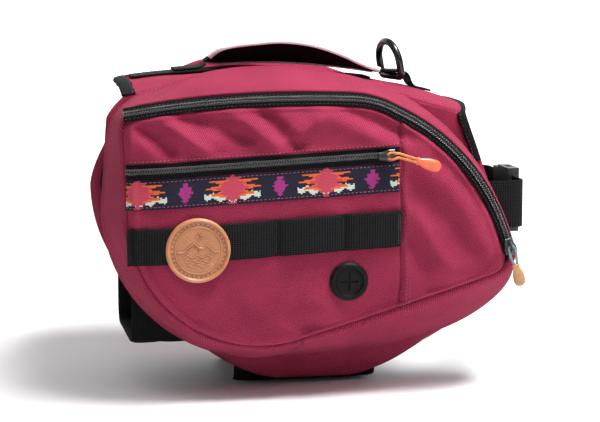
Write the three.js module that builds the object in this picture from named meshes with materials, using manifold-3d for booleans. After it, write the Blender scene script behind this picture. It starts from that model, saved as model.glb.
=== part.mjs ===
// A dog's saddle daypack: two zipped pouches hang either side of a fabric saddle that lies over the back.
// Millimetres, +Z up, +X towards the dog's head, the right-hand pouch on -Y.
import * as THREE from "three";
import { mergeVertices } from "three/addons/utils/BufferGeometryUtils.js";
import Module from "manifold-3d";

// ---------- Driving dimensions ----------
const GAP = 0.4; // air left between pieces that touch
const CLOTH = 2.4; // a padded fabric wall
const PAD_T = 5; // padding under the saddle
const WEB_T = 1.6; // webbing thickness
const CHEST_WEB = 36; // width of the chest webbing
const BELLY_WEB = 25; // and of the belly and spine webbing

const CROWN_Z = 233; // highest line of the saddle
const CROWN_X = -20; // where along the back it is highest
const FALL_FRONT = 0.00118; // parabola of the saddle's top, towards the head
const FALL_REAR = 0.00056; // and towards the tail
const SADDLE_X = [-134, 127]; // rear and front edge of the saddle
const SADDLE_HALF = 57.5; // half width over the side panels
const SHOULDER_DROP = 7; // how far the saddle's top falls at its sides

const PANEL_SEAM_Y = -112; // seam round the front panel
const PANEL_BULGE = 8; // how far the stuffed panel stands proud of its seam
const PANEL_FLAT = 0.72; // share of the panel that is flat
const GUSSET_FRONT_Y = -108.5;
const RIDGE_Y = -66; // the fullest ring of the pouch
const GUSSET_BACK_Y = -58;

const ARC_X = -8; // centre of the main zip's round stretch
const ARC_Z = 68;
const ARC_R = 151; // front panel's edge there
const ARC_TOP = 65; // degrees, where the round stretch meets the shoulder
const ARC_LOW = 13.5; // degrees, where it ends at the nose
const ZIP_RISE = 7; // the main zip's tape, measured outwards
const ZIP_BACK = 3.5; // and towards the saddle
const SLOPE = 0.05; // the pocket's trims climb towards the head

const RING_X = 80; // the leash ring's bar
const RING_TURN = 15; // degrees, the ring's turn about the vertical
const RING_LEAN = 11; // degrees, the ring's lean towards the tail
const RING_WIRE = 2.8; // wire radius
const RING_LIFT = 2; // clearance under the ring's bar, so that it can swing

const CHEST_Z = 130; // middle height of the chest strap
const CHEST_X = 172; // how far forward it reaches
const BELLY_X = 2; // middle of the belly strap
const BELLY_Z = 9; // height of the belly strap's webbing

const wasm = await Module();
wasm.setup();

const daypack = new THREE.Group();
const rad = THREE.MathUtils.degToRad;
const vec = (x, y, z) => new THREE.Vector3(x, y, z);

const COLOURS = {
  berry: { color: 0x7a2440, roughness: 0.85, metalness: 0 },
  black: { color: 0x17171a, roughness: 0.8, metalness: 0 },
  grey: { color: 0xa9abad, roughness: 0.5, metalness: 0 },
  steel: { color: 0x26272b, roughness: 0.35, metalness: 0.9 },
  plastic: { color: 0x141416, roughness: 0.5, metalness: 0 },
  orange: { color: 0xe0652a, roughness: 0.5, metalness: 0 },
  teal: { color: 0x4f7f83, roughness: 0.8, metalness: 0 },
  ribbon: { color: 0x5a2b4c, roughness: 0.8, metalness: 0 },
  leather: { color: 0xa8683a, roughness: 0.55, metalness: 0 },
};

// ---------- Geometry helpers ----------

// Adds a named piece to a group.
function piece(group, name, geometry, look) {
  const mesh = new THREE.Mesh(geometry, new THREE.MeshStandardMaterial(COLOURS[look]));
  mesh.name = name;
  group.add(mesh);
  return mesh;
}

// A closed mesh from points and triangles, turned so that its faces point outwards.
function closedMesh(points, triangles) {
  let volume = 0;
  for (const [a, b, c] of triangles) {
    volume += points[a].dot(points[b].clone().cross(points[c]));
  }
  const turned = volume < 0 ? triangles.map(([a, b, c]) => [a, c, b]) : triangles;
  const geometry = new THREE.BufferGeometry().setFromPoints(points);
  geometry.setIndex(turned.flat());
  geometry.computeVertexNormals();
  return geometry;
}

// Side walls between rings of equal length; wrap joins the last ring to the first.
function wallTriangles(ringCount, ringSize, wrap) {
  const triangles = [];
  const last = wrap ? ringCount : ringCount - 1;
  for (let r = 0; r < last; r++) {
    const here = r * ringSize;
    const next = ((r + 1) % ringCount) * ringSize;
    for (let i = 0; i < ringSize; i++) {
      const j = (i + 1) % ringSize;
      triangles.push([here + i, here + j, next + j], [here + i, next + j, next + i]);
    }
  }
  return triangles;
}

// A tube-like solid through rings that closes on itself, such as a wall round a pouch.
function ringSolid(rings) {
  return closedMesh(rings.flat(), wallTriangles(rings.length, rings[0].length, true));
}

// A solid through rings, closed by a point at either end, such as a domed shell.
function domedSolid(rings, startTip, endTip) {
  const size = rings[0].length;
  const points = [...rings.flat(), startTip, endTip];
  const triangles = wallTriangles(rings.length, size, false);
  const last = (rings.length - 1) * size;
  for (let i = 0; i < size; i++) {
    const j = (i + 1) % size;
    triangles.push([points.length - 2, j, i], [points.length - 1, last + i, last + j]);
  }
  return closedMesh(points, triangles);
}

// Sweeps a flat section through stations { at, a, b }: each section point is at + a * x + b * y.
function sweep(section, stations, wrap = false) {
  const rings = stations.map(({ at, a, b }) =>
    section.map(([x, y]) => at.clone().addScaledVector(a, x).addScaledVector(b, y)),
  );
  const triangles = wallTriangles(rings.length, section.length, wrap);
  if (!wrap) {
    const caps = THREE.ShapeUtils.triangulateShape(section.map(([x, y]) => new THREE.Vector2(x, y)), []);
    const last = (rings.length - 1) * section.length;
    for (const [i, j, k] of caps) triangles.push([i, k, j], [last + i, last + j, last + k]);
  }
  return closedMesh(rings.flat(), triangles);
}

// A rectangle as a section, from its low corner.
const box2 = (x0, y0, x1, y1) => [[x0, y0], [x1, y0], [x1, y1], [x0, y1]];

// A circle as a section.
const round2 = (radius, sides) =>
  Array.from({ length: sides }, (_, i) => {
    const turn = (i / sides) * 2 * Math.PI;
    return [radius * Math.cos(turn), radius * Math.sin(turn)];
  });

// Stations along a path of points, each with b across the path and the given side vector.
function stationsAlong(points, side, wrap = false) {
  const count = points.length;
  return points.map((at, i) => {
    const before = points[wrap ? (i + count - 1) % count : Math.max(i - 1, 0)];
    const after = points[wrap ? (i + 1) % count : Math.min(i + 1, count - 1)];
    const along = after.clone().sub(before).normalize();
    const b = along.clone().cross(side).normalize();
    return { at, a: side.clone(), b };
  });
}

// A line of points with round corners, in the plane of its corners.
function roundedPath(corners, radius, steps) {
  const points = [corners[0].clone()];
  for (let i = 1; i < corners.length - 1; i++) {
    const into = corners[i - 1].clone().sub(corners[i]).setLength(radius).add(corners[i]);
    const out = corners[i + 1].clone().sub(corners[i]).setLength(radius).add(corners[i]);
    const bend = new THREE.QuadraticBezierCurve3(into, corners[i], out);
    points.push(...bend.getPoints(steps));
  }
  points.push(corners.at(-1).clone());
  return points;
}

// A box between two corners.
function boxBetween(low, high) {
  const size = high.clone().sub(low);
  const box = new THREE.BoxGeometry(size.x, size.y, size.z);
  return box.translate(low.x + size.x / 2, low.y + size.y / 2, low.z + size.z / 2);
}

// A flat plate of a shape drawn in X and Z, from yFrom towards -Y.
function plate(shape, yFrom, depth, segments = 6, bevel = 0) {
  const geometry = new THREE.ExtrudeGeometry(shape, {
    depth: depth - 2 * bevel,
    curveSegments: segments,
    bevelEnabled: bevel > 0,
    bevelThickness: bevel,
    bevelSize: bevel,
    bevelOffset: -bevel,
    bevelSegments: 1,
  });
  return geometry.rotateX(Math.PI / 2).translate(0, yFrom - bevel, 0);
}

// A closed mesh as a manifold solid.
function toSolid(geometry) {
  const bare = geometry.clone();
  bare.deleteAttribute("normal");
  bare.deleteAttribute("uv");
  const merged = mergeVertices(bare, 1e-4);
  return new wasm.Manifold(
    new wasm.Mesh({
      numProp: 3,
      vertProperties: merged.attributes.position.array,
      triVerts: new Uint32Array(merged.index.array),
    }),
  );
}

// A manifold solid as a three.js geometry.
function fromSolid(solid) {
  const mesh = solid.getMesh();
  const geometry = new THREE.BufferGeometry();
  geometry.setAttribute("position", new THREE.BufferAttribute(mesh.vertProperties, 3));
  geometry.setIndex(new THREE.BufferAttribute(mesh.triVerts, 1));
  return geometry;
}

const joined = (...parts) => fromSolid(parts.map(toSolid).reduce((whole, part) => whole.add(part)));
const cut = (whole, ...holes) =>
  fromSolid(holes.map(toSolid).reduce((left, hole) => left.subtract(hole), toSolid(whole)));

// ---------- Form of the saddle and the pouch ----------

// Height of the saddle's top surface.
function saddleTop(x, y = 0) {
  const fall = x > CROWN_X ? FALL_FRONT : FALL_REAR;
  return CROWN_Z - fall * (x - CROWN_X) ** 2 - SHOULDER_DROP * Math.abs(y / SADDLE_HALF) ** 3;
}

// Closed outline of the pouch in X and Z. full runs from 0 at the front panel's seam to 1 at the
// fullest ring; grow moves only the zipped stretch, along the top and round the nose, outwards.
function pouchOutline(full, grow = 0) {
  const mix = (front, back) => front + (back - front) * full;
  const rearX = mix(-40, -35);
  const rearZ = mix(138, 140);
  const rearR = mix(97, 116);
  const rearEnd = rad(mix(-73, -85));
  const arcR = mix(ARC_R, 168) + grow;
  const arcLow = rad(mix(ARC_LOW, 8));
  const arcPoint = (turn) => [ARC_X + arcR * Math.cos(turn), ARC_Z + arcR * Math.sin(turn)];
  const path = new THREE.Path();
  path.moveTo(rearX - rearR, rearZ);
  path.lineTo(mix(-139.5, -147), mix(196, 186));
  path.quadraticCurveTo(mix(-140, -144), mix(207, 216) + grow, mix(-127, -112), mix(208, 222) + grow);
  path.quadraticCurveTo(mix(-60, -58), mix(218, 245) + grow, 22, mix(214.5, 232) + grow);
  path.quadraticCurveTo(mix(42, 48), mix(214, 228) + grow, ...arcPoint(rad(ARC_TOP)));
  path.absarc(ARC_X, ARC_Z, arcR, rad(ARC_TOP), arcLow, true);
  path.quadraticCurveTo(mix(142, 161), mix(90, 78), mix(127, 146), mix(86.5, 64));
  path.quadraticCurveTo(mix(58, 100), mix(65, 22), rearX + rearR * Math.cos(rearEnd), rearZ + rearR * Math.sin(rearEnd));
  path.absarc(rearX, rearZ, rearR, rearEnd, -Math.PI, true);
  const points = path.getPoints(5);
  if (points.at(-1).distanceTo(points[0]) < 0.01) points.pop();
  return points;
}

const ZIP_FIRST = 5; // outline point where the main zip starts, at the rear top corner
const ZIP_LAST = 26; // and where it ends, at the nose
const FRONT_OUTLINE = pouchOutline(0);
const PANEL_CENTRE = new THREE.Vector2(-10, 128);

// How far a point of the panel is from its centre, as a share of the way to the seam.
function panelShare(x, z) {
  const from = new THREE.Vector2(x, z).sub(PANEL_CENTRE);
  const length = from.length();
  if (length < 1e-6) return 0;
  const count = FRONT_OUTLINE.length;
  for (let i = 0; i < count; i++) {
    const a = FRONT_OUTLINE[i].clone().sub(PANEL_CENTRE);
    const b = FRONT_OUTLINE[(i + 1) % count].clone().sub(PANEL_CENTRE);
    const edge = b.clone().sub(a);
    const cross = from.cross(edge);
    const reach = a.cross(edge) / cross;
    const share = a.cross(from) / cross;
    if (reach > 0 && share >= 0 && share <= 1) return 1 / reach;
  }
  return 1;
}

// Depth of the panel's outer face: flat in the middle, rolled back to the seam at its edge.
function rolledDepth(share) {
  const roll = Math.max(0, share - PANEL_FLAT) / (1 - PANEL_FLAT);
  return PANEL_SEAM_Y - PANEL_BULGE * (1 - Math.min(roll, 1) ** 2);
}
const panelDepth = (x, z) => rolledDepth(panelShare(x, z));
const FLAT_Y = rolledDepth(0);

// An outline moved inwards by a wall's thickness.
function insetOutline(points, distance) {
  const count = points.length;
  return points.map((p, i) => {
    const along = points[(i + 1) % count].clone().sub(points[(i + count - 1) % count]).normalize();
    return new THREE.Vector2(p.x + along.y * distance, p.y - along.x * distance);
  });
}

const atDepth = (points, y) => points.map((p) => vec(p.x, y, p.y));

// ---------- Soft panels of one pouch ----------

function frontPanel() {
  const shares = [1, 0.94, 0.84, PANEL_FLAT];
  const ring = (share, back) =>
    FRONT_OUTLINE.map((p) => {
      const q = p.clone().sub(PANEL_CENTRE).multiplyScalar(share).add(PANEL_CENTRE);
      return vec(q.x, rolledDepth(share) + back, q.y);
    });
  const outer = shares.map((share) => ring(share, 0)).reverse();
  const inner = shares.map((share) => ring(share, CLOTH));
  const tip = (back) => vec(PANEL_CENTRE.x, FLAT_Y + back, PANEL_CENTRE.y);
  return domedSolid([...outer, ...inner], tip(0), tip(CLOTH));
}

function gusset() {
  const front = pouchOutline(0, ZIP_RISE + 1.2);
  const middle = pouchOutline(0.62, ZIP_RISE * 0.3);
  const ridge = pouchOutline(1);
  const back = insetOutline(ridge, 2);
  const outer = [
    atDepth(front, GUSSET_FRONT_Y),
    atDepth(middle, (GUSSET_FRONT_Y + RIDGE_Y) / 2 - 4),
    atDepth(ridge, RIDGE_Y),
    atDepth(back, GUSSET_BACK_Y),
  ];
  const inner = [
    atDepth(insetOutline(back, CLOTH), GUSSET_BACK_Y),
    atDepth(insetOutline(ridge, CLOTH), RIDGE_Y),
    atDepth(insetOutline(middle, CLOTH), (GUSSET_FRONT_Y + RIDGE_Y) / 2 - 4),
    atDepth(insetOutline(front, CLOTH), GUSSET_FRONT_Y),
  ];
  return ringSolid([...outer, ...inner]);
}

// The saddle's side panel, which closes the pouch's back and hangs a little below it.
function sidePanelShape(shrink) {
  const shape = new THREE.Shape();
  const topZ = (x) => saddleTop(x, SADDLE_HALF) - CLOTH - GAP - shrink;
  const rear = SADDLE_X[0] + shrink;
  const front = 122 - shrink;
  const steps = 10;
  shape.moveTo(rear, topZ(rear));
  for (let i = 1; i <= steps; i++) {
    const x = rear + ((front - rear) * i) / steps;
    shape.lineTo(x, topZ(x));
  }
  shape.quadraticCurveTo(143 - shrink, 150, 154 - shrink, 108);
  shape.quadraticCurveTo(148 - shrink, 56 + shrink, 92, 30 + shrink);
  shape.quadraticCurveTo(62, 9 + shrink, 34, 5 + shrink);
  shape.lineTo(-20, 5 + shrink);
  shape.quadraticCurveTo(-60, 11 + shrink, -92, 46 + shrink);
  shape.quadraticCurveTo(-149 + shrink, 84 + shrink, -149 + shrink, 150);
  shape.lineTo(-146 + shrink, 203);
  return shape;
}

// A strip sewn on the front panel, from its left edge to xEnd, climbing with SLOPE.
function panelStrip(section, midHeight, xStart, xEnd, lift) {
  const places = [0, 0.03, 0.07, 0.12, 0.2, 1];
  const up = vec(SLOPE * -1, 0, 1).normalize();
  const stations = places.map((share) => {
    const x = xStart + (xEnd - xStart) * share;
    const z = midHeight + SLOPE * x;
    const proud = Math.min(...[-13, 0, 13].map((step) => panelDepth(x + 3, z + step)));
    return { at: vec(x, proud - lift, z), a: up, b: vec(0, -1, 0) };
  });
  return sweep(section, stations);
}

const TRIM_START = -136.5; // the trims' end in the pouch's rear seam
const TRIM_END = 57; // the upright seam that closes the pocket
const COIL_SECTION = [
  [-4.4, 0], [4.4, 0], [4.4, 0.8], [2.4, 0.8], [2.4, 2.2], [-2.4, 2.2], [-2.4, 0.8], [-4.4, 0.8],
];

const POCKET_SLIDER_X = 47; // pocket slider when the pocket is closed
const MAIN_SLIDER_TURN = 15.5; // degrees round the main zip's arc when the pouch is closed
const pocketZipHeight = (x) => 175.8 + SLOPE * x;

// The main zip: a tape with its coil, along the top and round the nose.
function mainZip() {
  const inner = pouchOutline(0);
  const outer = pouchOutline(0, ZIP_RISE);
  const stations = [];
  for (let i = ZIP_FIRST; i <= ZIP_LAST; i++) {
    const low = vec(inner[i].x, PANEL_SEAM_Y - 2, inner[i].y);
    const high = vec(outer[i].x, PANEL_SEAM_Y - 2 + ZIP_BACK, outer[i].y);
    const a = high.clone().sub(low).normalize();
    const along = vec(inner[i + 1].x - inner[i - 1].x, 0, inner[i + 1].y - inner[i - 1].y).normalize();
    const b = along.clone().cross(a).normalize();
    if (b.y > 0) b.negate();
    stations.push({ at: low.add(high).multiplyScalar(0.5), a, b });
  }
  return sweep(COIL_SECTION.map(([x, y]) => [x * 0.82, y * 0.8]), stations);
}

// ---------- Zip hardware, drawn with the zip along X and its face towards -Y ----------

const PULL_Y = -4; // the pull's cord passes through the bail here
const CORD_R = 1; // pull cord radius

function zipSlider() {
  const outline = new THREE.Shape();
  outline.moveTo(-6, -2.6);
  outline.quadraticCurveTo(-2, -3, 1, -4.4);
  outline.lineTo(5.5, -4.4);
  outline.quadraticCurveTo(7, 0, 5.5, 4.4);
  outline.lineTo(1, 4.4);
  outline.quadraticCurveTo(-2, 3, -6, 2.6);
  outline.closePath();
  const body = plate(outline, 0, 2.6, 4, 0.5);
  const arch = new THREE.CubicBezierCurve3(vec(-4.6, -1.6, 0), vec(-4, -8, 0), vec(4, -8, 0), vec(4.6, -1.6, 0));
  return joined(body, sweep(round2(0.8, 6), stationsAlong(arch.getPoints(8), vec(0, 0, 1))));
}

// How far a drooping pull hangs below the slider's line at a distance along it.
const droopAt = (x, droop) => Math.max(0, x - 8) * Math.tan(rad(droop));

// Doubled cord through the slider's bail, running to +X and drooping past the slider.
function pullCord(length, droop) {
  const half = [[length, 1.3], [8, 2.2], [3.5, 2.3], [0.6, 1.8], [-0.3, 0]];
  const back = half.slice(0, -1).reverse().map(([x, z]) => [x, -z]);
  const path = [...half, ...back].map(([x, z]) => vec(x, PULL_Y, z - droopAt(x, droop)));
  return sweep(round2(CORD_R, 6), stationsAlong(path, vec(0, 1, 0)));
}

// The moulded grip on the end of a pull.
function pullEnd(start, length, droop) {
  const profile = [
    [0, 0], [3, 0.4], [3.7, 3], [4.5, length * 0.55], [3.8, length - 2.4], [2.2, length - 0.4], [0, length],
  ];
  const grip = new THREE.LatheGeometry(profile.map(([r, h]) => new THREE.Vector2(r, h)), 12);
  grip.scale(0.62, 1, 1).rotateZ(-Math.PI / 2).rotateY(rad(droop));
  return grip.translate(start + GAP, PULL_Y, -droopAt(start, droop));
}

// ---------- One pouch, drawn for the right side ----------

function pouch(side) {
  const group = new THREE.Group();
  const add = (name, geometry, look, parent = group) => piece(parent, side + "_" + name, geometry, look);

  add("front_panel", frontPanel(), "berry");
  add("gusset", gusset(), "berry");
  add("side_panel", plate(sidePanelShape(0), -SADDLE_HALF + CLOTH, CLOTH), "berry");
  add("side_lining", plate(sidePanelShape(3), -SADDLE_HALF + CLOTH + 4.2, 1.2, 4), "black");
  add("main_zip", mainZip(), "black");
  add("pocket_zip", panelStrip(COIL_SECTION, 175.8, TRIM_START, TRIM_END, GAP), "black");
  add("pocket_ribbon", panelStrip(box2(-10.6, 0, 10.6, 0.7), 159.4, TRIM_START, TRIM_END, GAP), "ribbon");
  add("gear_webbing", panelStrip(box2(-13, 0, 13, WEB_T), 122.6, TRIM_START, TRIM_END + 1, GAP), "black");

  const pocketPart = new THREE.Group();
  pocketPart.position.set(POCKET_SLIDER_X, FLAT_Y - 3.1, pocketZipHeight(POCKET_SLIDER_X));
  pocketPart.rotation.y = -Math.atan(SLOPE);
  add("pocket_slider", zipSlider(), "plastic", pocketPart);
  add("pocket_pull_cord", pullCord(20, 20), "orange", pocketPart);
  add("pocket_pull_grip", pullEnd(20, 19, 20), "orange", pocketPart);
  group.add(pocketPart);

  const turn = rad(MAIN_SLIDER_TURN);
  const zipR = ARC_R + ZIP_RISE / 2;
  const mainPart = new THREE.Group();
  mainPart.position.set(ARC_X + zipR * Math.cos(turn), PANEL_SEAM_Y - 3.6, ARC_Z + zipR * Math.sin(turn));
  mainPart.rotation.y = Math.PI / 2 - turn;
  add("main_slider", zipSlider(), "plastic", mainPart);
  add("main_pull_cord", pullCord(13, 0), "teal", mainPart);
  add("main_pull_grip", pullEnd(13, 17, 0), "leather", mainPart);
  group.add(mainPart);
  return group;
}

const rightPouch = pouch("right");
const leftPouch = pouch("left");
leftPouch.scale.y = -1;
daypack.add(rightPouch, leftPouch);

// ---------- Badge and cable port on the right pouch ----------

const discOnPanel = (profile, x, z, lift, sides) => {
  const lathe = new THREE.LatheGeometry(profile.map(([r, h]) => new THREE.Vector2(r, h)), sides);
  return lathe.rotateX(Math.PI).translate(x, FLAT_Y - lift, z);
};

const BADGE_PROFILE = [[0, 0], [23, 0], [23, 2.6], [21.8, 3.2], [20.2, 2.4], [0, 2.4]];
piece(daypack, "leather_badge", discOnPanel(BADGE_PROFILE, -89, 114, WEB_T + 2 * GAP, 32), "leather");

const PORT_PROFILE = [[0, 0], [14, 0], [14, 1.6], [12.4, 3.4], [10.4, 3.4], [9.6, 2], [0, 2]];
const PORT_X = 20;
const PORT_Z = 88;
const portDisc = discOnPanel(PORT_PROFILE, PORT_X, PORT_Z, GAP, 32);
const slit = (w, h) => boxBetween(
  vec(PORT_X - w, FLAT_Y - 5, PORT_Z - h),
  vec(PORT_X + w, FLAT_Y - 1.2, PORT_Z + h),
);
piece(daypack, "cable_port", cut(portDisc, slit(6.5, 0.8), slit(0.8, 6.5)), "plastic");

// ---------- Saddle ----------

// A strip that follows the saddle's top along X, between two widths.
function spineStrip(xFrom, xTo, halfWidth, lift, thickness, steps) {
  const across = 7;
  const ys = Array.from({ length: across }, (_, i) => -halfWidth + (2 * halfWidth * i) / (across - 1));
  const rings = [];
  for (let i = 0; i <= steps; i++) {
    const x = xFrom + ((xTo - xFrom) * i) / steps;
    const upper = ys.map((y) => vec(x, y, saddleTop(x, y) + lift + thickness));
    const lower = [...ys].reverse().map((y) => vec(x, y, saddleTop(x, y) + lift));
    rings.push([...upper, ...lower]);
  }
  const size = rings[0].length;
  const triangles = wallTriangles(rings.length, size, false);
  const last = (rings.length - 1) * size;
  for (let i = 0; i < across - 1; i++) {
    const back = size - 1 - i;
    triangles.push([i, back - 1, i + 1], [i, back, back - 1]);
    triangles.push([last + i, last + i + 1, last + back - 1], [last + i, last + back - 1, last + back]);
  }
  return closedMesh(rings.flat(), triangles);
}

piece(daypack, "spine_panel", spineStrip(...SADDLE_X, SADDLE_HALF, -CLOTH, CLOTH, 10), "berry");
piece(daypack, "spine_pad", spineStrip(SADDLE_X[0] + 6, SADDLE_X[1] - 6, 48, -CLOTH - 1.2 - PAD_T, PAD_T, 6), "black");
piece(daypack, "spine_webbing", spineStrip(SADDLE_X[0] + 12, 60, BELLY_WEB / 2, GAP, WEB_T, 8), "black");

// A binding over one edge of the saddle: up the right side's points, over the top, down the left.
function edgeBinding(sidePoints, topX, width) {
  const half = SADDLE_HALF + GAP;
  const inward = vec(-Math.sign(topX), 0, 0);
  const climb = (saddleTop(topX + inward.x * width) - saddleTop(topX)) / width;
  const overTop = vec(inward.x, 0, climb);
  const stationAt = (x, y, z, out, a = inward) => ({ at: vec(x, y, z), a, b: out });
  const onTop = (y, out) => stationAt(topX, y, saddleTop(topX, y) + GAP, out, overTop);
  const shoulder = (y) => onTop(y, vec(0, Math.sign(y) * 0.7, 0.7));
  const right = sidePoints.map(([x, z]) => stationAt(x, -half, z, vec(0, -1, 0)));
  const left = sidePoints.map(([x, z]) => stationAt(x, half, z, vec(0, 1, 0))).reverse();
  const over = [-44, -26, 0, 26, 44].map((y) => onTop(y, vec(0, 0, 1)));
  return sweep(box2(0, 0, width, 1.2), [...right, shoulder(-half), ...over, shoulder(half), ...left]);
}
piece(daypack, "rear_binding", edgeBinding([], SADDLE_X[0], 9), "black");
piece(daypack, "front_binding", edgeBinding([[134, 171], [129.8, 181], [126.8, 190]], SADDLE_X[1], 7), "black");

// ---------- Grab handle and leash ring ----------

const HANDLE_T = 3.2;
const HANDLE_HALF = 18.5;
const HANDLE_END = 7; // half width where the handle meets its tabs
const HANDLE_EASE = 14; // length over which it narrows

// The handle's raised edge, towards the right pouch, in X and Z.
const RAISED_EDGE = new THREE.SplineCurve([
  [-66, 240], [-60, 246.5], [-48, 250], [-28, 252.2], [-8, 253.2], [15, 250], [36, 243], [55, 234.8], [71, 230.5],
].map(([x, z]) => new THREE.Vector2(x, z)));
const handleFar = (x) => saddleTop(x, 16) + 5; // the edge that rests on the saddle

// Stations along the handle, moved across from its own middle line: side -1 is the raised edge.
function handleStations(side = 0) {
  const edge = RAISED_EDGE.getPoints(20);
  return edge.map(({ x, y: z }) => {
    const fromEnd = Math.min(x - edge[0].x, edge.at(-1).x - x);
    const ease = Math.min(1, fromEnd / HANDLE_EASE);
    const half = HANDLE_END + (HANDLE_HALF - HANDLE_END) * Math.sin((ease * Math.PI) / 2);
    const near = vec(x, -16, z);
    const far = vec(x, 16, handleFar(x));
    const a = far.clone().sub(near).normalize();
    const at = near.add(far).multiplyScalar(0.5).addScaledVector(a, side * half);
    return { at, a, b: vec(0, -a.z, a.y), half };
  });
}

function handleStrap() {
  const rings = handleStations().map(({ at, a, b, half }) => ({ at, a: a.clone().multiplyScalar(half / HANDLE_HALF), b }));
  return sweep(box2(-HANDLE_HALF, -HANDLE_T / 2, HANDLE_HALF, HANDLE_T / 2), rings);
}

// The piping sewn along one edge of the handle.
function handlePiping(side) {
  const middle = handleStations(side).slice(1, -1);
  const radius = 1.7;
  const stations = middle.map(({ at, a, b }) => ({ at: at.clone().addScaledVector(a, side * (radius + GAP)), a, b }));
  return sweep(round2(radius, 6), stations);
}

piece(daypack, "handle_strap", handleStrap(), "black");
piece(daypack, "handle_piping_near", handlePiping(-1), "grey");
piece(daypack, "handle_piping_far", handlePiping(1), "grey");

// A flat tab of webbing that follows points in X and Z.
function tab(points, half) {
  const path = points.map(([x, z]) => vec(x, 0, z));
  return sweep(box2(-half, -WEB_T / 2, half, WEB_T / 2), stationsAlong(path, vec(0, 1, 0)));
}

const ringZ = saddleTop(RING_X) + RING_LIFT + RING_WIRE;
const overRing = ringZ + RING_WIRE + GAP + WEB_T / 2;
const onSaddle = (x, lift = 0) => saddleTop(x) + GAP + lift + WEB_T / 2;
const onWebbing = GAP + WEB_T;
const REAR_TAB = [
  [-90, onSaddle(-90, onWebbing)], [-78, onSaddle(-78, onWebbing)], [-71, onSaddle(-71, onWebbing) + 0.4],
  [-67.4, onSaddle(-67.4, onWebbing) + 2.6],
];
const FRONT_TAB = [
  [108, onSaddle(108)], [95, onSaddle(95)], [90.5, overRing - 3], [86.5, overRing],
  [72.6, overRing + 0.3],
];
piece(daypack, "handle_rear_tab", tab(REAR_TAB, 12), "black");
piece(daypack, "handle_front_tab", tab(FRONT_TAB, 11.5), "black");

// The leash ring: a straight bar under the handle's front tab and a round bow above it.
function leashRing() {
  const half = 16;
  const corner = 4;
  const leg = 11;
  const loop = new THREE.Path();
  loop.moveTo(-half + corner, 0);
  loop.lineTo(half - corner, 0);
  loop.absarc(half - corner, corner, corner, -Math.PI / 2, 0, false);
  loop.lineTo(half, leg);
  loop.absarc(0, leg, half, 0, Math.PI, false);
  loop.lineTo(-half, corner);
  loop.absarc(-half + corner, corner, corner, Math.PI, 1.5 * Math.PI, false);
  const points = loop.getPoints(4).map((p) => vec(0, p.x, p.y));
  if (points.at(-1).distanceTo(points[0]) < 0.01) points.pop();
  return sweep(round2(RING_WIRE, 8), stationsAlong(points, vec(1, 0, 0), true), true);
}

const ringPlace = new THREE.Group();
ringPlace.position.set(RING_X, 0, ringZ);
ringPlace.rotation.z = rad(RING_TURN);
const ring = piece(ringPlace, "leash_ring", leashRing(), "steel");
ring.rotation.y = -rad(RING_LEAN);
daypack.add(ringPlace);

// ---------- Chest and belly straps ----------

// A side-release buckle along Y: thick in X, wide in Z. The plug sits in the socket at rest.
const SOCKET_Y = [-22, 6];
const PLUG_Y = [6.8, 19.8];
const PRONG_REACH = 16; // how far the prongs run into the socket
const SLOT = 1.3; // half height of the slot that the webbing passes through

// Both halves are drawn round webbing of the given half width.
function buckleSocket(half) {
  const shell = boxBetween(vec(-4.5, SOCKET_Y[0], -half - 6.7), vec(4.5, SOCKET_Y[1], half + 6.7));
  const cavity = boxBetween(vec(-2.9, SOCKET_Y[0] + 6, -half - 4.4), vec(2.9, SOCKET_Y[1] + 1, half + 4.4));
  const mouth = boxBetween(vec(-SLOT, SOCKET_Y[0] - 1, -half - 0.6), vec(SLOT, SOCKET_Y[0] + 7, half + 0.6));
  const windows = [-1, 1].map((end) => boxBetween(
    vec(-2.2, SOCKET_Y[0] + 10, Math.min(end * (half + 2.5), end * (half + 7.5))),
    vec(2.2, SOCKET_Y[0] + 19, Math.max(end * (half + 2.5), end * (half + 7.5))),
  ));
  return cut(shell, cavity, mouth, ...windows);
}

function bucklePlug(half) {
  const frame = boxBetween(vec(-4, PLUG_Y[0], -half - 4.5), vec(4, PLUG_Y[1], half + 4.5));
  const prongs = [-1, 1].map((end) => boxBetween(
    vec(-2.4, PLUG_Y[0] - PRONG_REACH, Math.min(end * (half + 0.9), end * (half + 3.9))),
    vec(2.4, PLUG_Y[0] + 1, Math.max(end * (half + 0.9), end * (half + 3.9))),
  ));
  const slot = boxBetween(vec(-SLOT, PLUG_Y[0] - 1, -half - 0.6), vec(SLOT, PLUG_Y[1] + 1, half + 0.6));
  return cut(joined(frame, ...prongs), slot);
}

const SOCKET_WEB_END = SOCKET_Y[0] + 4; // webbing's end inside the socket
const PLUG_WEB_END = PLUG_Y[0] + 2; // and inside the plug

// Chest webbing: sewn between side panel and lining, then round the front of the chest.
const chestRoot = -SADDLE_HALF + CLOTH + 0.7 + WEB_T / 2;
function chestWebbing(side, endY) {
  const corners = [vec(126, side * -chestRoot, CHEST_Z), vec(CHEST_X, side * -chestRoot, CHEST_Z), vec(CHEST_X, endY, CHEST_Z)];
  const path = roundedPath(corners, 13, 5);
  const section = box2(-CHEST_WEB / 2, -WEB_T / 2, CHEST_WEB / 2, WEB_T / 2);
  return sweep(section, stationsAlong(path, vec(0, 0, 1)));
}
piece(daypack, "right_chest_webbing", chestWebbing(-1, SOCKET_WEB_END), "black");
piece(daypack, "left_chest_webbing", chestWebbing(1, PLUG_WEB_END), "black");
const chestBuckle = new THREE.Group();
chestBuckle.position.set(CHEST_X, 0, CHEST_Z);
piece(chestBuckle, "chest_buckle_socket", buckleSocket(CHEST_WEB / 2), "plastic");
piece(chestBuckle, "chest_buckle_plug", bucklePlug(CHEST_WEB / 2), "plastic");
daypack.add(chestBuckle);

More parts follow.
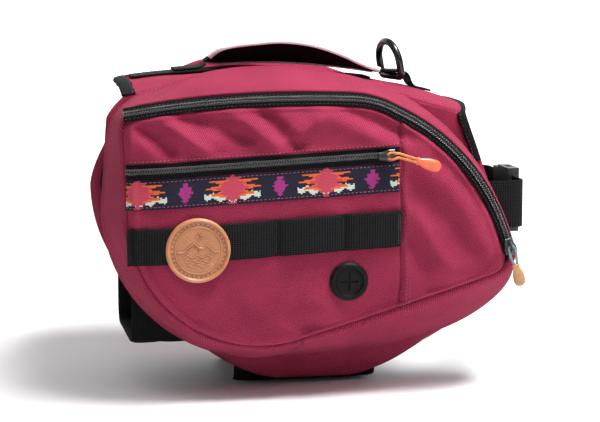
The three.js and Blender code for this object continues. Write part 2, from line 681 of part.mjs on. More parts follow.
// Belly wings: padded flaps from the side panels, bent under the belly and tapered to the webbing.
const WING_T = 4;
const wingY = -48.2;
function bellyWing(side) {
  const corners = [vec(0, side * -wingY, 40), vec(0, side * -wingY, WING_T / 2), vec(0, side * 20, WING_T / 2)];
  const path = roundedPath(corners, 9, 5);
  const stations = stationsAlong(path, vec(1, 0, 0)).map((station, i) => {
    const taper = THREE.MathUtils.clamp((Math.abs(path[i].y) - 20) / 22, 0, 1);
    const half = 15 + 39 * taper;
    return { at: station.at.add(vec(BELLY_X, 0, 0)), a: vec(half, 0, 0), b: station.b };
  });
  return sweep(box2(-1, -WING_T / 2, 1, WING_T / 2), stations);
}
piece(daypack, "right_belly_wing", bellyWing(-1), "black");
piece(daypack, "left_belly_wing", bellyWing(1), "black");

const bellyRoot = wingY + WING_T / 2 + GAP + WEB_T / 2;
function bellyWebbing(side, endY) {
  const corners = [vec(BELLY_X, side * -bellyRoot, 34), vec(BELLY_X, side * -bellyRoot, BELLY_Z), vec(BELLY_X, endY, BELLY_Z)];
  const path = roundedPath(corners, 7, 5);
  const section = box2(-BELLY_WEB / 2, -WEB_T / 2, BELLY_WEB / 2, WEB_T / 2);
  return sweep(section, stationsAlong(path, vec(1, 0, 0)));
}
piece(daypack, "right_belly_webbing", bellyWebbing(-1, SOCKET_WEB_END), "black");
piece(daypack, "left_belly_webbing", bellyWebbing(1, PLUG_WEB_END), "black");
const bellyBuckle = new THREE.Group();
bellyBuckle.position.set(BELLY_X, 0, BELLY_Z);
bellyBuckle.rotation.y = Math.PI / 2;
piece(bellyBuckle, "belly_buckle_socket", buckleSocket(BELLY_WEB / 2), "plastic");
piece(bellyBuckle, "belly_buckle_plug", bucklePlug(BELLY_WEB / 2), "plastic");
daypack.add(bellyBuckle);

// The girth pad: a wide padded band hung from both side linings towards the tail.
const GIRTH_X = [-129, -62];
const GIRTH_Z = 33.5;
function girthPad() {
  const corners = [vec(0, wingY, 100), vec(0, wingY, GIRTH_Z), vec(0, -wingY, GIRTH_Z), vec(0, -wingY, 100)];
  const path = roundedPath(corners, 14, 6).map((p) => p.setX((GIRTH_X[0] + GIRTH_X[1]) / 2));
  const half = (GIRTH_X[1] - GIRTH_X[0]) / 2;
  return sweep(box2(-half, -2, half, 2), stationsAlong(path, vec(1, 0, 0)));
}
piece(daypack, "girth_pad", girthPad(), "black");

// ---------- The origin: middle of the footprint, at the floor ----------
const extent = new THREE.Box3().setFromObject(daypack);
const middle = extent.getCenter(new THREE.Vector3());
daypack.position.set(-middle.x, -middle.y, -extent.min.z);

export default daypack;
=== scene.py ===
# Looks of the dog daypack: sewn shells, zips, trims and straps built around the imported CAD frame.
# Shapes are worked out in millimetres on the CAD's own pattern and turned into the row frame by place().
import math

import bmesh
import bpy
import numpy as np
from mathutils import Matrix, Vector


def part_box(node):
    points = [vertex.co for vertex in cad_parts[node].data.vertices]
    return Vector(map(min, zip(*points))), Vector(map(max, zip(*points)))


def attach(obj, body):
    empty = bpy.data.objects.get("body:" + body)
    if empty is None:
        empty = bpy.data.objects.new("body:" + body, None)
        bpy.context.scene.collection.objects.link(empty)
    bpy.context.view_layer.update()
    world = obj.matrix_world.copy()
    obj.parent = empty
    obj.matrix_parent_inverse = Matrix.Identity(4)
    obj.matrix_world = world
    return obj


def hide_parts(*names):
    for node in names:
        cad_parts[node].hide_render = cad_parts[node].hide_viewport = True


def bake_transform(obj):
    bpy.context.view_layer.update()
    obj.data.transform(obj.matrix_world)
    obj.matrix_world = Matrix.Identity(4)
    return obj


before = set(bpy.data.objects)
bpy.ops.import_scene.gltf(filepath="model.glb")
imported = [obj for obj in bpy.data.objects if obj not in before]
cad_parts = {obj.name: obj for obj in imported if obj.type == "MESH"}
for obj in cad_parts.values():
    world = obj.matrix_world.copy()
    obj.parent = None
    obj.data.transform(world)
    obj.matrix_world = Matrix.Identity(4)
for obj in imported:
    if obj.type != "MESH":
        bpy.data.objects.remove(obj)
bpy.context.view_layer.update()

# ---------- Pattern dimensions (mm), as in the CAD ----------
MM = 0.001
SADDLE_REAR, SADDLE_FRONT = -134.0, 131.0
SADDLE_HALF = 57.5
CROWN_X, CROWN_Z = -20.0, 233.0
FALL_FRONT, FALL_REAR = 0.00118, 0.00056
SHOULDER_DROP = 7.0
SEAM_Y = -112.0  # seam round the front panel
BULGE = 8.0
FLAT_SHARE = 0.72
RIDGE_Y = -66.0
BACK_Y = -58.0
ARC_X, ARC_Z, ARC_R = -8.0, 68.0, 151.0
ZIP_RISE = 7.0
SLOPE = 0.05
POCKET_END = 57.0  # the upright seam
POCKET_ZIP_Z, RIBBON_Z, WEBBING_Z = 175.8, 159.4, 122.6
PANEL_CENTRE = np.array([-10.0, 128.0])
SIDE_CENTRE = np.array([0.0, 115.0])
BADGE_X, BADGE_Z, BADGE_R = -89.0, 114.0, 23.0
PORT_X, PORT_Z = 20.0, 88.0
WEBBING_TACKS = (-33.0, 16.0)  # where the gear webbing is bar-tacked
RIDGE_SHARE = 0.84  # the gusset's fullest ring, as a share of its depth
CLOTH_THICK = 1.2
SHIFT = np.array([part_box("spine_panel")[0][0] / MM - SADDLE_REAR, 0.0, 0.0])
SIDES = (("right", 1.0), ("left", -1.0))


def place(points, side=1.0):
    """Pattern millimetres to the row frame; side -1 mirrors the right pouch's pattern to the left."""
    out = (np.asarray(points, float) + SHIFT) * MM
    out[..., 1] *= side
    return out


def saddle_top(x, y=0.0):
    """Height of the saddle's top: crowned along the spine, lower at the shoulders."""
    fall = np.where(np.asarray(x) > CROWN_X, FALL_FRONT, FALL_REAR)
    shoulder = SHOULDER_DROP * np.abs(np.asarray(y) / SADDLE_HALF) ** 3
    return CROWN_Z - fall * (np.asarray(x) - CROWN_X) ** 2 - shoulder


def saddle_lie(x, y=0.0):
    """Where the slack saddle cloth lies: it dips a little between the handle's two ends."""
    dip = 3.6 * np.exp(-(((np.asarray(x) - 6.0) / 48.0) ** 2))
    return saddle_top(x, y) - dip * (1 - (np.asarray(y) / SADDLE_HALF) ** 2)


# ---------- Node materials ----------


class Shader:
    """A small helper that builds a node material step by step."""

    def __init__(self, name, rough=0.8, metallic=0.0, sheen=0.0, coat=0.0, specular=0.5):
        self.material = bpy.data.materials.new(name)
        self.material.use_nodes = True
        self.tree = self.material.node_tree
        self.bsdf = self.tree.nodes["Principled BSDF"]
        self.bsdf.inputs["Roughness"].default_value = rough
        self.bsdf.inputs["Metallic"].default_value = metallic
        self.bsdf.inputs["Sheen Weight"].default_value = sheen
        self.bsdf.inputs["Coat Weight"].default_value = coat
        self.bsdf.inputs["Specular IOR Level"].default_value = specular

    def node(self, kind, **settings):
        made = self.tree.nodes.new(kind)
        for key, value in settings.items():
            setattr(made, key, value)
        return made

    def put(self, socket, value):
        if isinstance(value, bpy.types.NodeSocket):
            self.tree.links.new(value, socket)
        else:
            socket.default_value = value

    def math(self, operation, a, b=0.0, c=0.0, clamp=False):
        made = self.node("ShaderNodeMath", operation=operation, use_clamp=clamp)
        for socket, value in zip(made.inputs, (a, b, c)):
            self.put(socket, value)
        return made.outputs[0]

    def coords(self, kind="UV"):
        """The three components of the cloth's own coordinates, in millimetres."""
        source = self.node("ShaderNodeTexCoord").outputs[kind]
        scale = self.node("ShaderNodeVectorMath", operation="SCALE")
        self.put(scale.inputs[0], source)
        scale.inputs["Scale"].default_value = 1.0 / MM
        split = self.node("ShaderNodeSeparateXYZ")
        self.put(split.inputs[0], scale.outputs[0])
        return scale.outputs[0], split.outputs[0], split.outputs[1], split.outputs[2]

    def noise(self, vector, scale, detail=3.0, rough=0.55):
        made = self.node("ShaderNodeTexNoise")
        self.put(made.inputs["Vector"], vector)
        made.inputs["Scale"].default_value = scale
        made.inputs["Detail"].default_value = detail
        made.inputs["Roughness"].default_value = rough
        return made.outputs["Fac"]

    def ramp(self, factor, stops):
        made = self.node("ShaderNodeValToRGB")
        self.put(made.inputs[0], factor)
        elements = made.color_ramp.elements
        while len(elements) < len(stops):
            elements.new(0.5)
        for element, (place_on_ramp, colour) in zip(elements, stops):
            element.position = place_on_ramp
            element.color = (*colour, 1.0)
        return made.outputs[0]

    def mix(self, factor, a, b):
        made = self.node("ShaderNodeMix", data_type="RGBA")
        self.put(made.inputs[0], factor)
        for socket, value in ((made.inputs[6], a), (made.inputs[7], b)):
            self.put(socket, value if isinstance(value, bpy.types.NodeSocket) else (*value, 1.0))
        return made.outputs[2]

    def finish(self, colour, height=None, bump=0.3, distance=0.4, rough=None):
        self.put(self.bsdf.inputs["Base Color"],
                 colour if isinstance(colour, bpy.types.NodeSocket) else (*colour, 1.0))
        if rough is not None:
            self.put(self.bsdf.inputs["Roughness"], rough)
        if height is not None:
            made = self.node("ShaderNodeBump")
            made.inputs["Strength"].default_value = bump
            made.inputs["Distance"].default_value = distance * MM
            self.put(made.inputs["Height"], height)
            self.put(self.bsdf.inputs["Normal"], made.outputs[0])
        return self.material


def wave(shader, value, period):
    """A 0..1 ripple of the given period."""
    turned = shader.math("MULTIPLY", value, 2.0 * math.pi / period)
    return shader.math("MULTIPLY_ADD", shader.math("SINE", turned), 0.5, 0.5)


def tint(colour, gain, lift=0.0):
    return tuple(c * gain + lift for c in colour)


def canvas_material(name, dark, light):
    """Twill canvas: diagonal wales broken into short floats, with slubs and slightly faded patches."""
    s = Shader(name, rough=0.9, sheen=0.02, specular=0.05)
    vector, u, v, _ = s.coords()
    wobble = s.noise(vector, 0.30, 2.0)
    diagonal = s.math("ADD", s.math("SUBTRACT", u, s.math("MULTIPLY", v, 0.8)),
                      s.math("MULTIPLY", wobble, 0.9))
    wales = wave(s, diagonal, 1.7)
    floats = wave(s, s.math("MULTIPLY_ADD", u, 0.9, v), 1.7)
    slub = s.noise(vector, 1.1, 3.0, 0.75)
    weave = s.math("MULTIPLY_ADD", wales, 0.30, s.math("MULTIPLY", floats, 0.22))
    weave = s.math("MULTIPLY_ADD", slub, 0.98, weave)
    cloud = s.noise(vector, 0.022, 4.0)
    shade = s.math("MULTIPLY_ADD", weave, 0.95, s.math("MULTIPLY_ADD", cloud, 0.36, -0.42), clamp=True)
    middle = tuple((a + b) * 0.46 for a, b in zip(dark, light))
    colour = s.ramp(shade, ((0.12, dark), (0.45, middle), (0.95, light)))
    return s.finish(colour, weave, bump=0.9, distance=0.5)


def webbing_material(name, base, rib=1.9, cross=1.5):
    """Ribbed polyester webbing: crosswise ribs broken by the warp, with paler worn threads."""
    s = Shader(name, rough=0.75, specular=0.08)
    vector, u, v, _ = s.coords()
    ribs = wave(s, u, rib)
    warp = wave(s, s.math("ADD", v, s.math("MULTIPLY", ribs, 0.2)), cross)
    fuzz = s.noise(vector, 1.3, 3.0, 0.7)
    height = s.math("MULTIPLY_ADD", ribs, 0.6, s.math("MULTIPLY", warp, 0.4))
    shade = s.math("MULTIPLY", s.math("MULTIPLY", ribs, warp), s.math("MULTIPLY", fuzz, 1.6), clamp=True)
    colour = s.ramp(shade, ((0.08, base), (0.85, tint(base, 3.5, 0.012))))
    return s.finish(colour, height, bump=0.9, distance=0.5)


def plain_fabric(name, base, rough=0.85):
    """Dense knitted or meshed cloth, for linings and tapes."""
    s = Shader(name, rough=rough, specular=0.05)
    vector, u, v, _ = s.coords()
    cells = s.math("MULTIPLY", wave(s, u, 1.6), wave(s, v, 1.6))
    fuzz = s.noise(vector, 0.8, 3.0, 0.7)
    colour = s.ramp(s.math("MULTIPLY_ADD", cells, 0.5, s.math("MULTIPLY", fuzz, 0.5)),
                    ((0.2, base), (0.8, tint(base, 2.4, 0.01))))
    return s.finish(colour, cells, bump=0.5, distance=0.3)


def moulded(name, base, rough=0.45, grain=0.25, coat=0.0, metallic=0.0, specular=0.4):
    """Moulded plastic, rubber or enamelled metal with fine grain and handling marks."""
    s = Shader(name, rough=rough, coat=coat, metallic=metallic, specular=specular)
    vector, _, _, _ = s.coords("Object")
    fine = s.noise(vector, 2.6, 4.0, 0.6)
    broad = s.noise(vector, 0.16, 3.0)
    pale = tuple(min(1.0, c * 1.15 + 0.004) for c in base)
    colour = s.ramp(broad, ((0.3, tint(base, 0.85)), (0.75, pale)))
    rough_socket = s.math("MULTIPLY_ADD", fine, 0.25, rough - 0.12)
    return s.finish(colour, fine, bump=grain, distance=0.12, rough=rough_socket)


def leather_material(name, base):
    """Vegetable-tanned leather with fine pores; its hollows are darkened by painted shade, found from the
    mesh's pointiness.
    """
    s = Shader(name, rough=0.5, coat=0.12, specular=0.45)
    vector, _, _, _ = s.coords("Object")
    pores = s.node("ShaderNodeTexVoronoi")
    s.put(pores.inputs["Vector"], vector)
    pores.inputs["Scale"].default_value = 1.9
    fine = s.noise(vector, 1.2, 5.0, 0.65)
    patch = s.noise(vector, 0.09, 3.0)
    tone = s.math("MULTIPLY_ADD", fine, 0.45, s.math("MULTIPLY", patch, 0.55))
    pale = tuple(min(1.0, c * 1.25) for c in base)
    colour = s.ramp(tone, ((0.25, tint(base, 0.72)), (0.8, pale)))
    # Painted shade: where the relief is hollow (low pointiness) the colour falls to a third of the base.
    pointy = s.node("ShaderNodeNewGeometry").outputs["Pointiness"]
    hollow_shade = s.math("MULTIPLY_ADD", pointy, 20.0, -9.2, clamp=True)
    colour = s.mix(hollow_shade, tint(base, 0.3), colour)
    height = s.math("MULTIPLY_ADD", pores.outputs["Distance"], 0.5, fine)
    return s.finish(colour, height, bump=0.3, distance=0.2)


def thread_material(name, base):
    """Sewing thread with a twist."""
    s = Shader(name, rough=0.6, sheen=0.2)
    _, u, v, w = s.coords("Object")
    twist = wave(s, s.math("ADD", u, s.math("ADD", v, w)), 0.6)
    colour = s.ramp(twist, ((0.1, tint(base, 0.7)), (0.9, base)))
    return s.finish(colour, twist, bump=0.3, distance=0.1)


def braid_material(name, base, pitch=1.3):
    """Braided cord: crossed strands round the cord."""
    s = Shader(name, rough=0.55, sheen=0.15)
    _, u, v, _ = s.coords()
    one = wave(s, s.math("ADD", u, v), pitch)
    two = wave(s, s.math("SUBTRACT", u, v), pitch)
    strands = s.math("MAXIMUM", one, two)
    colour = s.ramp(strands, ((0.45, tint(base, 0.55)), (0.95, base)))
    return s.finish(colour, strands, bump=0.6, distance=0.3)


def ribbon_material():
    """Jacquard ribbon: stepped medallions and diamonds woven on a navy ground."""
    s = Shader("jacquard_ribbon", rough=0.8, sheen=0.02, specular=0.12)
    vector, u, v, _ = s.coords()
    stitch_u, stitch_v = 1.15, 1.0
    fray = s.noise(vector, 0.55, 2.0)
    jitter = s.math("MULTIPLY_ADD", fray, 2.6, -1.3)
    cell_u = s.math("MULTIPLY", s.math("FLOOR", s.math("DIVIDE", s.math("ADD", u, jitter), stitch_u)),
                    stitch_u)
    cell_v = s.math("MULTIPLY", s.math("FLOOR", s.math("DIVIDE", v, stitch_v)), stitch_v)
    period = 67.2

    def away(centre):
        """Distance along the ribbon to the nearest repeat of centre."""
        shifted = s.math("SUBTRACT", cell_u, centre)
        return s.math("PINGPONG", s.math("ADD", shifted, period * 20), period / 2)

    def inside(distance, limit):
        return s.math("LESS_THAN", distance, limit)

    side = away(10.0)
    height = s.math("SUBTRACT", cell_v, 0.6)
    up = s.math("ABSOLUTE", height)
    notch = s.math("MULTIPLY", s.math("PINGPONG", up, 1.8), 2.6)
    core = s.math("MULTIPLY_ADD", up, 0.95, s.math("ADD", side, notch))
    spike = s.math("MULTIPLY_ADD", s.math("PINGPONG", s.math("SUBTRACT", height, 0.6), 2.4), 5.2, side)
    spike = s.math("MULTIPLY_ADD", up, 0.7, spike)
    low = s.math("SUBTRACT", cell_v, s.math("MULTIPLY_ADD", s.math("PINGPONG", side, 4.6), 0.55, -8.0))
    low = s.math("ABSOLUTE", s.math("SUBTRACT", low, s.math("MULTIPLY", side, 0.14)))
    jewel = away(10.0 + period / 2)
    tip = s.math("ABSOLUTE", s.math("ADD", cell_v, 0.3))
    diamond = s.math("MULTIPLY_ADD", s.math("PINGPONG", tip, 1.5), 1.3,
                     s.math("ADD", jewel, s.math("MULTIPLY", tip, 0.62)))
    ground = s.mix(s.noise(vector, 1.4, 2.0), (0.004, 0.004, 0.010), (0.034, 0.030, 0.056))
    colour = s.mix(inside(diamond, 6.2), ground, (0.33, 0.035, 0.19))
    white = s.math("MULTIPLY", inside(low, 1.9), inside(side, 20.5))
    colour = s.mix(white, colour, (0.58, 0.64, 0.56))
    reach = s.math("MULTIPLY", inside(spike, 21.0), inside(up, 6.4))
    colour = s.mix(reach, colour, (0.74, 0.13, 0.035))
    colour = s.mix(inside(core, 13.2), colour, (0.50, 0.060, 0.10))
    threads = s.math("MULTIPLY", wave(s, u, 0.8), wave(s, v, 1.0))
    shade = s.math("MULTIPLY_ADD", threads, 0.45, 0.72)
    dim = s.node("ShaderNodeMix", data_type="RGBA", blend_type="MULTIPLY")
    dim.inputs[0].default_value = 1.0
    s.put(dim.inputs[6], colour)
    grey = s.node("ShaderNodeCombineColor")
    for socket in grey.inputs[:3]:
        s.put(socket, shade)
    s.put(dim.inputs[7], grey.outputs[0])
    return s.finish(dim.outputs[2], threads, bump=0.6, distance=0.3)


BERRY_DARK, BERRY_LIGHT = (0.062, 0.0028, 0.011), (0.465, 0.049, 0.111)
LOOK = {
    "berry": canvas_material("berry_canvas", BERRY_DARK, BERRY_LIGHT),
    "webbing": webbing_material("black_webbing", (0.0045, 0.0045, 0.005)),
    "handle": webbing_material("handle_webbing", (0.0015, 0.0015, 0.0017), rib=2.2, cross=1.4),
    "binding": plain_fabric("grosgrain_binding", (0.006, 0.006, 0.0065)),
    "lining": plain_fabric("lining_mesh", (0.004, 0.004, 0.0045)),
    "tape": plain_fabric("zip_tape", (0.002, 0.002, 0.0023)),
    "coil": moulded("zip_coil", (0.034, 0.034, 0.036), rough=0.22, specular=0.9),
    "enamel": moulded("black_enamel", (0.012, 0.012, 0.013), rough=0.28, coat=0.4),
    "plastic": moulded("buckle_plastic", (0.014, 0.014, 0.015), rough=0.42),
    "rubber": moulded("black_rubber", (0.0015, 0.0015, 0.002), rough=0.5, grain=0.4, specular=0.14),
    "orange": moulded("orange_rubber", (0.66, 0.115, 0.040), rough=0.32, coat=0.25),
    "tan": moulded("tan_rubber", (0.42, 0.22, 0.10), rough=0.4),
    "orange_cord": braid_material("orange_cord", (0.72, 0.20, 0.05)),
    "teal_cord": braid_material("teal_cord", (0.16, 0.27, 0.28)),
    "leather": leather_material("tan_leather", (0.47, 0.185, 0.078)),
    "steel": moulded("black_steel", (0.045, 0.045, 0.050), rough=0.24, grain=0.1, metallic=0.85),
    "piping": plain_fabric("reflective_piping", (0.80, 0.80, 0.80), rough=0.35),
    "berry_thread": thread_material("berry_thread", (0.34, 0.060, 0.105)),
    # Painted shade: a darker copy of the berry thread, for stitches in the upright seam's groove and along
    # the skirt's hem under the pouch.
    "shaded_seam_thread": thread_material("shaded_seam_thread", (0.085, 0.008, 0.018)),
    "black_thread": thread_material("black_thread", (0.03, 0.03, 0.032)),
    "ribbon": ribbon_material(),
}

# ---------- Mesh helpers ----------


def add_object(name, data):
    made = bpy.data.objects.new(name, data)
    bpy.context.scene.collection.objects.link(made)
    return made


def new_piece(name, verts, faces, look, body, replaces=(), uvs=None):
    """Makes a mesh piece in the row frame; with body None it is attached to no body."""
    mesh = bpy.data.meshes.new(name)
    mesh.from_pydata([tuple(v) for v in verts], [], [tuple(f) for f in faces])
    mesh.materials.append(LOOK[look])
    if uvs is not None:
        layer = mesh.uv_layers.new(name="cloth")
        loops = np.concatenate([np.asarray(f) for f in faces])
        layer.data.foreach_set("uv", np.asarray(uvs, float)[loops].ravel())
    mesh.update()
    fixed = bmesh.new()
    fixed.from_mesh(mesh)
    bmesh.ops.recalc_face_normals(fixed, faces=fixed.faces)
    fixed.to_mesh(mesh)
    fixed.free()
    mesh.shade_smooth()
    piece = add_object(name, mesh)
    if body:
        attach(piece, body)
    if replaces:
        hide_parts(*replaces)
    return piece


def grid_faces(rows, cols, wrap_rows=False, wrap_cols=False):
    faces = []
    for r in range(rows if wrap_rows else rows - 1):
        for c in range(cols if wrap_cols else cols - 1):
            r2, c2 = (r + 1) % rows, (c + 1) % cols
            faces.append((r * cols + c, r * cols + c2, r2 * cols + c2, r2 * cols + c))
    return faces


def tube_faces(rows, cols):
    """Faces of a tube of rings with both ends capped."""
    ends = [tuple(range(cols - 1, -1, -1)), tuple(range((rows - 1) * cols, rows * cols))]
    return grid_faces(rows, cols, False, True) + ends


def unit(vectors):
    return vectors / np.linalg.norm(vectors, axis=1, keepdims=True)


def arc_lengths(points):
    steps = np.linalg.norm(np.diff(points, axis=0), axis=1)
    return np.concatenate([[0.0], np.cumsum(steps)])


def at_lengths(wanted, lengths, values):
    """Rows of values read off at the wanted lengths along a path."""
    return np.stack([np.interp(wanted, lengths, values[:, k]) for k in range(values.shape[1])], -1)


def evenly(dense, count):
    """A path's points spread evenly along its length."""
    lengths = arc_lengths(dense)
    return at_lengths(np.linspace(0, lengths[-1], count), lengths, dense)


def cloth_uv(points):
    """UV in metres from a grid's own lengths: u along the rows' middle, v across."""
    rows, cols, _ = points.shape
    u = arc_lengths(points[:, cols // 2])
    v = arc_lengths(points[rows // 2])
    v = v - v.mean()
    return np.stack(np.meshgrid(u, v, indexing="ij"), axis=-1).reshape(-1, 2)


def modify(piece, kind, **settings):
    modifier = piece.modifiers.new(kind.title(), kind)
    for key, value in settings.items():
        setattr(modifier, key, value)
    return modifier


def apply_modifiers(piece):
    """Bakes a piece's modifiers into its mesh."""
    view = bpy.context.evaluated_depsgraph_get()
    baked = bpy.data.meshes.new_from_object(piece.evaluated_get(view))
    piece.modifiers.clear()
    piece.data = baked
    return piece


def thicken(piece, thick):
    """Gives a cloth surface its thickness, behind the face it shows."""
    modify(piece, "SOLIDIFY", thickness=thick * MM, offset=-1.0)
    return apply_modifiers(piece)


def sheet_piece(name, points, look, body, replaces=(), side=1.0):
    """A cloth surface from a grid of pattern points."""
    rows, cols, _ = points.shape
    placed = place(points, side)
    return new_piece(name, placed.reshape(-1, 3), grid_faces(rows, cols), look, body, replaces,
                     cloth_uv(placed))


def frames_along(path, side):
    """The direction across a path at each of its points, and the way out of its face."""
    across = np.broadcast_to(np.asarray(side, float), path.shape)
    return across, unit(np.cross(unit(np.gradient(path, axis=0)), across))


def strap_section(half, thick, corner=0.5, steps=3, across=9):
    """A flat strap's section with rounded edges, as points (across, out)."""
    corner = min(corner, thick / 2 - 0.01)
    points = []
    for cx, cy, start in ((half - corner, thick / 2 - corner, 0), (-half + corner, thick / 2 - corner, 90),
                          (-half + corner, -thick / 2 + corner, 180),
                          (half - corner, -thick / 2 + corner, 270)):
        for i in range(steps + 1):
            turn = math.radians(start + 90 * i / steps)
            points.append((cx + corner * math.cos(turn), cy + corner * math.sin(turn)))
        if start in (0, 180):
            sign = 1 if start == 0 else -1
            for k in range(1, across):
                points.append((sign * (half - corner) * (1 - 2 * k / across), sign * thick / 2))
    return np.array(points)


def sweep_piece(name, path, side, section, look, body, replaces=(), mirror=1.0, closed=False):
    """Sweeps a closed section along a path of pattern points; the ends are capped."""
    path = np.asarray(path, float)
    across, out = frames_along(path, side)
    if closed:
        along = unit(np.roll(path, -1, 0) - np.roll(path, 1, 0))
        out = unit(np.cross(along, across))
    rings = path[:, None] + across[:, None] * section[:, :1] + out[:, None] * section[:, 1:]
    count = len(section)
    placed = place(rings, mirror)
    faces = grid_faces(len(path), count, True, True) if closed else tube_faces(len(path), count)
    lengths = arc_lengths(place(path))
    around = section[:, 0] * MM
    uv = np.stack(np.meshgrid(lengths, around, indexing="ij"), -1).reshape(-1, 2)
    return new_piece(name, placed.reshape(-1, 3), faces, look, body, replaces, uv)


def wire_section(radius, sides=16):
    turn = np.linspace(0, 2 * math.pi, sides, endpoint=False)
    return np.stack([radius * np.cos(turn), radius * np.sin(turn)], 1)


def smooth_path(points, count):
    """A Catmull-Rom curve through a few points, resampled evenly."""
    p = np.asarray(points, float)
    padded = np.vstack([2 * p[0] - p[1], p, 2 * p[-1] - p[-2]])
    out = []
    for i in range(len(p) - 1):
        a, b, c, d = padded[i:i + 4]
        t = np.linspace(0, 1, 24, endpoint=False)[:, None]
        out.append(0.5 * ((2 * b) + (c - a) * t + (2 * a - 5 * b + 4 * c - d) * t**2
                          + (3 * b - a - 3 * c + d) * t**3))
    return evenly(np.vstack([*out, p[-1:]]), count)


def rounded_path(corners, radius, count):
    """Straight runs joined by round corners, resampled evenly."""
    corners = [np.asarray(c, float) for c in corners]
    points = [corners[0]]
    for before, here, after in zip(corners, corners[1:], corners[2:]):
        into = here + (before - here) / np.linalg.norm(before - here) * radius
        out = here + (after - here) / np.linalg.norm(after - here) * radius
        t = np.linspace(0, 1, 12)[:, None]
        points.extend((1 - t) ** 2 * into + 2 * t * (1 - t) * here + t**2 * out)
    points.append(corners[-1])
    return evenly(np.array(points), count)


def stitches(name, path, out, look, body, pitch=3.0, length=2.2, radius=0.32, mirror=1.0):
    """A row of sewn stitches lying on a path, each a small spindle half sunk in the cloth."""
    path = np.asarray(path, float)
    lengths = arc_lengths(path)
    count = max(2, int(lengths[-1] / pitch))
    centres = (np.arange(count) + 0.5) * lengths[-1] / count
    out = np.broadcast_to(np.asarray(out, float), path.shape)
    normal = at_lengths(centres, lengths, out)
    middle, start, end = (at_lengths(centres + shift, lengths, path)
                          for shift in (0, -length / 2, length / 2))
    along = unit(end - start)
    across = unit(np.cross(along, normal))
    verts, faces = [], []
    for m, s, e, n, c in zip(middle, start, end, normal, across):
        base = len(verts)
        verts += [s, m + c * radius, m + n * radius, m - c * radius, m - n * radius, e]
        for i in range(4):
            j = (i + 1) % 4
            faces += [(base, base + 1 + i, base + 1 + j), (base + 5, base + 1 + j, base + 1 + i)]
    return new_piece(name, place(np.array(verts), mirror), faces, look, body)


# ---------- The pouch's form ----------

OUTLINE_COUNTS = (14, 24, 90, 26, 70, 16, 70, 80)


def bezier2(a, b, c, count):
    t = np.linspace(0, 1, count, endpoint=False)[:, None]
    return (1 - t) ** 2 * np.array(a) + 2 * t * (1 - t) * np.array(b) + t**2 * np.array(c)


def pouch_outline(full, grow=0.0):
    """Closed outline of the pouch in X and Z: full 0 at the front seam to 1 at the fullest ring."""
    mix = lambda front, back: front + (back - front) * full
    rear = np.array([mix(-40, -35), mix(138, 140)])
    rear_r = mix(97, 116)
    rear_end = math.radians(mix(-73, -85))
    arc_r = mix(ARC_R, 168) + grow
    arc_low = math.radians(mix(13.5, 8))
    arc_top = math.radians(65)
    on_arc = lambda turn: np.stack([ARC_X + arc_r * np.cos(turn), ARC_Z + arc_r * np.sin(turn)], -1)
    on_rear = lambda turn: rear + rear_r * np.stack([np.cos(turn), np.sin(turn)], -1)
    left_low = on_rear(np.array(-math.pi))
    left_top = np.array([mix(-139.5, -147), mix(196, 186)])
    corner = (mix(-140, -144), mix(207, 216) + grow)
    top_rear = (mix(-127, -112), mix(208, 222) + grow)
    top_front = (22.0, mix(214.5, 233) + grow)
    tip = (mix(142, 161), mix(90, 78))
    nose_end = (mix(127, 146), mix(86.5, 64))
    n = OUTLINE_COUNTS
    return np.vstack([
        left_low + (left_top - left_low) * np.linspace(0, 1, n[0], endpoint=False)[:, None],
        bezier2(left_top, corner, top_rear, n[1]),
        bezier2(top_rear, (mix(-60, -58), mix(218, 248) + grow), top_front, n[2]),
        bezier2(top_front, (mix(42, 48), mix(214, 228) + grow), on_arc(np.array(arc_top)), n[3]),
        on_arc(np.linspace(arc_top, arc_low, n[4], endpoint=False)),
        bezier2(on_arc(np.array(arc_low)), tip, nose_end, n[5]),
        bezier2(nose_end, (mix(58, 100), mix(65, 22)), on_rear(np.array(rear_end)), n[6]),
        on_rear(np.linspace(rear_end, -math.pi, n[7], endpoint=False)),
    ])


FRONT_OUTLINE = pouch_outline(0.0)
OUTLINE_TURN = np.mod(np.arctan2(*(FRONT_OUTLINE - PANEL_CENTRE).T[::-1]), 2 * math.pi)
OUTLINE_REACH = np.linalg.norm(FRONT_OUTLINE - PANEL_CENTRE, axis=1)
ORDER = np.argsort(OUTLINE_TURN)
ZIP_START = OUTLINE_COUNTS[0] + 10
ZIP_END = sum(OUTLINE_COUNTS[:5]) + 1


def outline_normals(ring):
    tangent = unit(np.roll(ring, -1, 0) - np.roll(ring, 1, 0))
    return np.stack([-tangent[:, 1], tangent[:, 0]], 1)


def far_side_sag(points, side):
    """The far pouch has slumped: its top rear corner leans towards the head."""
    if side > 0:
        return points
    out = np.array(points, float)
    high = np.clip((out[..., 2] - 138) / 80, 0, 1)
    rear = np.clip((-30 - out[..., 0]) / 100, 0, 1)
    out[..., 0] += 4 * np.clip((-50 - points[..., 0]) / 60, 0, 1) + 24 * (high * high * (3 - 2 * high)) * rear
    return out


def panel_share(x, z):
    """How far a point is from the panel's centre, as a share of the way to the seam."""
    dx, dz = x - PANEL_CENTRE[0], z - PANEL_CENTRE[1]
    turn = np.mod(np.arctan2(dz, dx), 2 * math.pi)
    reach = np.interp(turn, OUTLINE_TURN[ORDER], OUTLINE_REACH[ORDER], period=2 * math.pi)
    return np.hypot(dx, dz) / reach


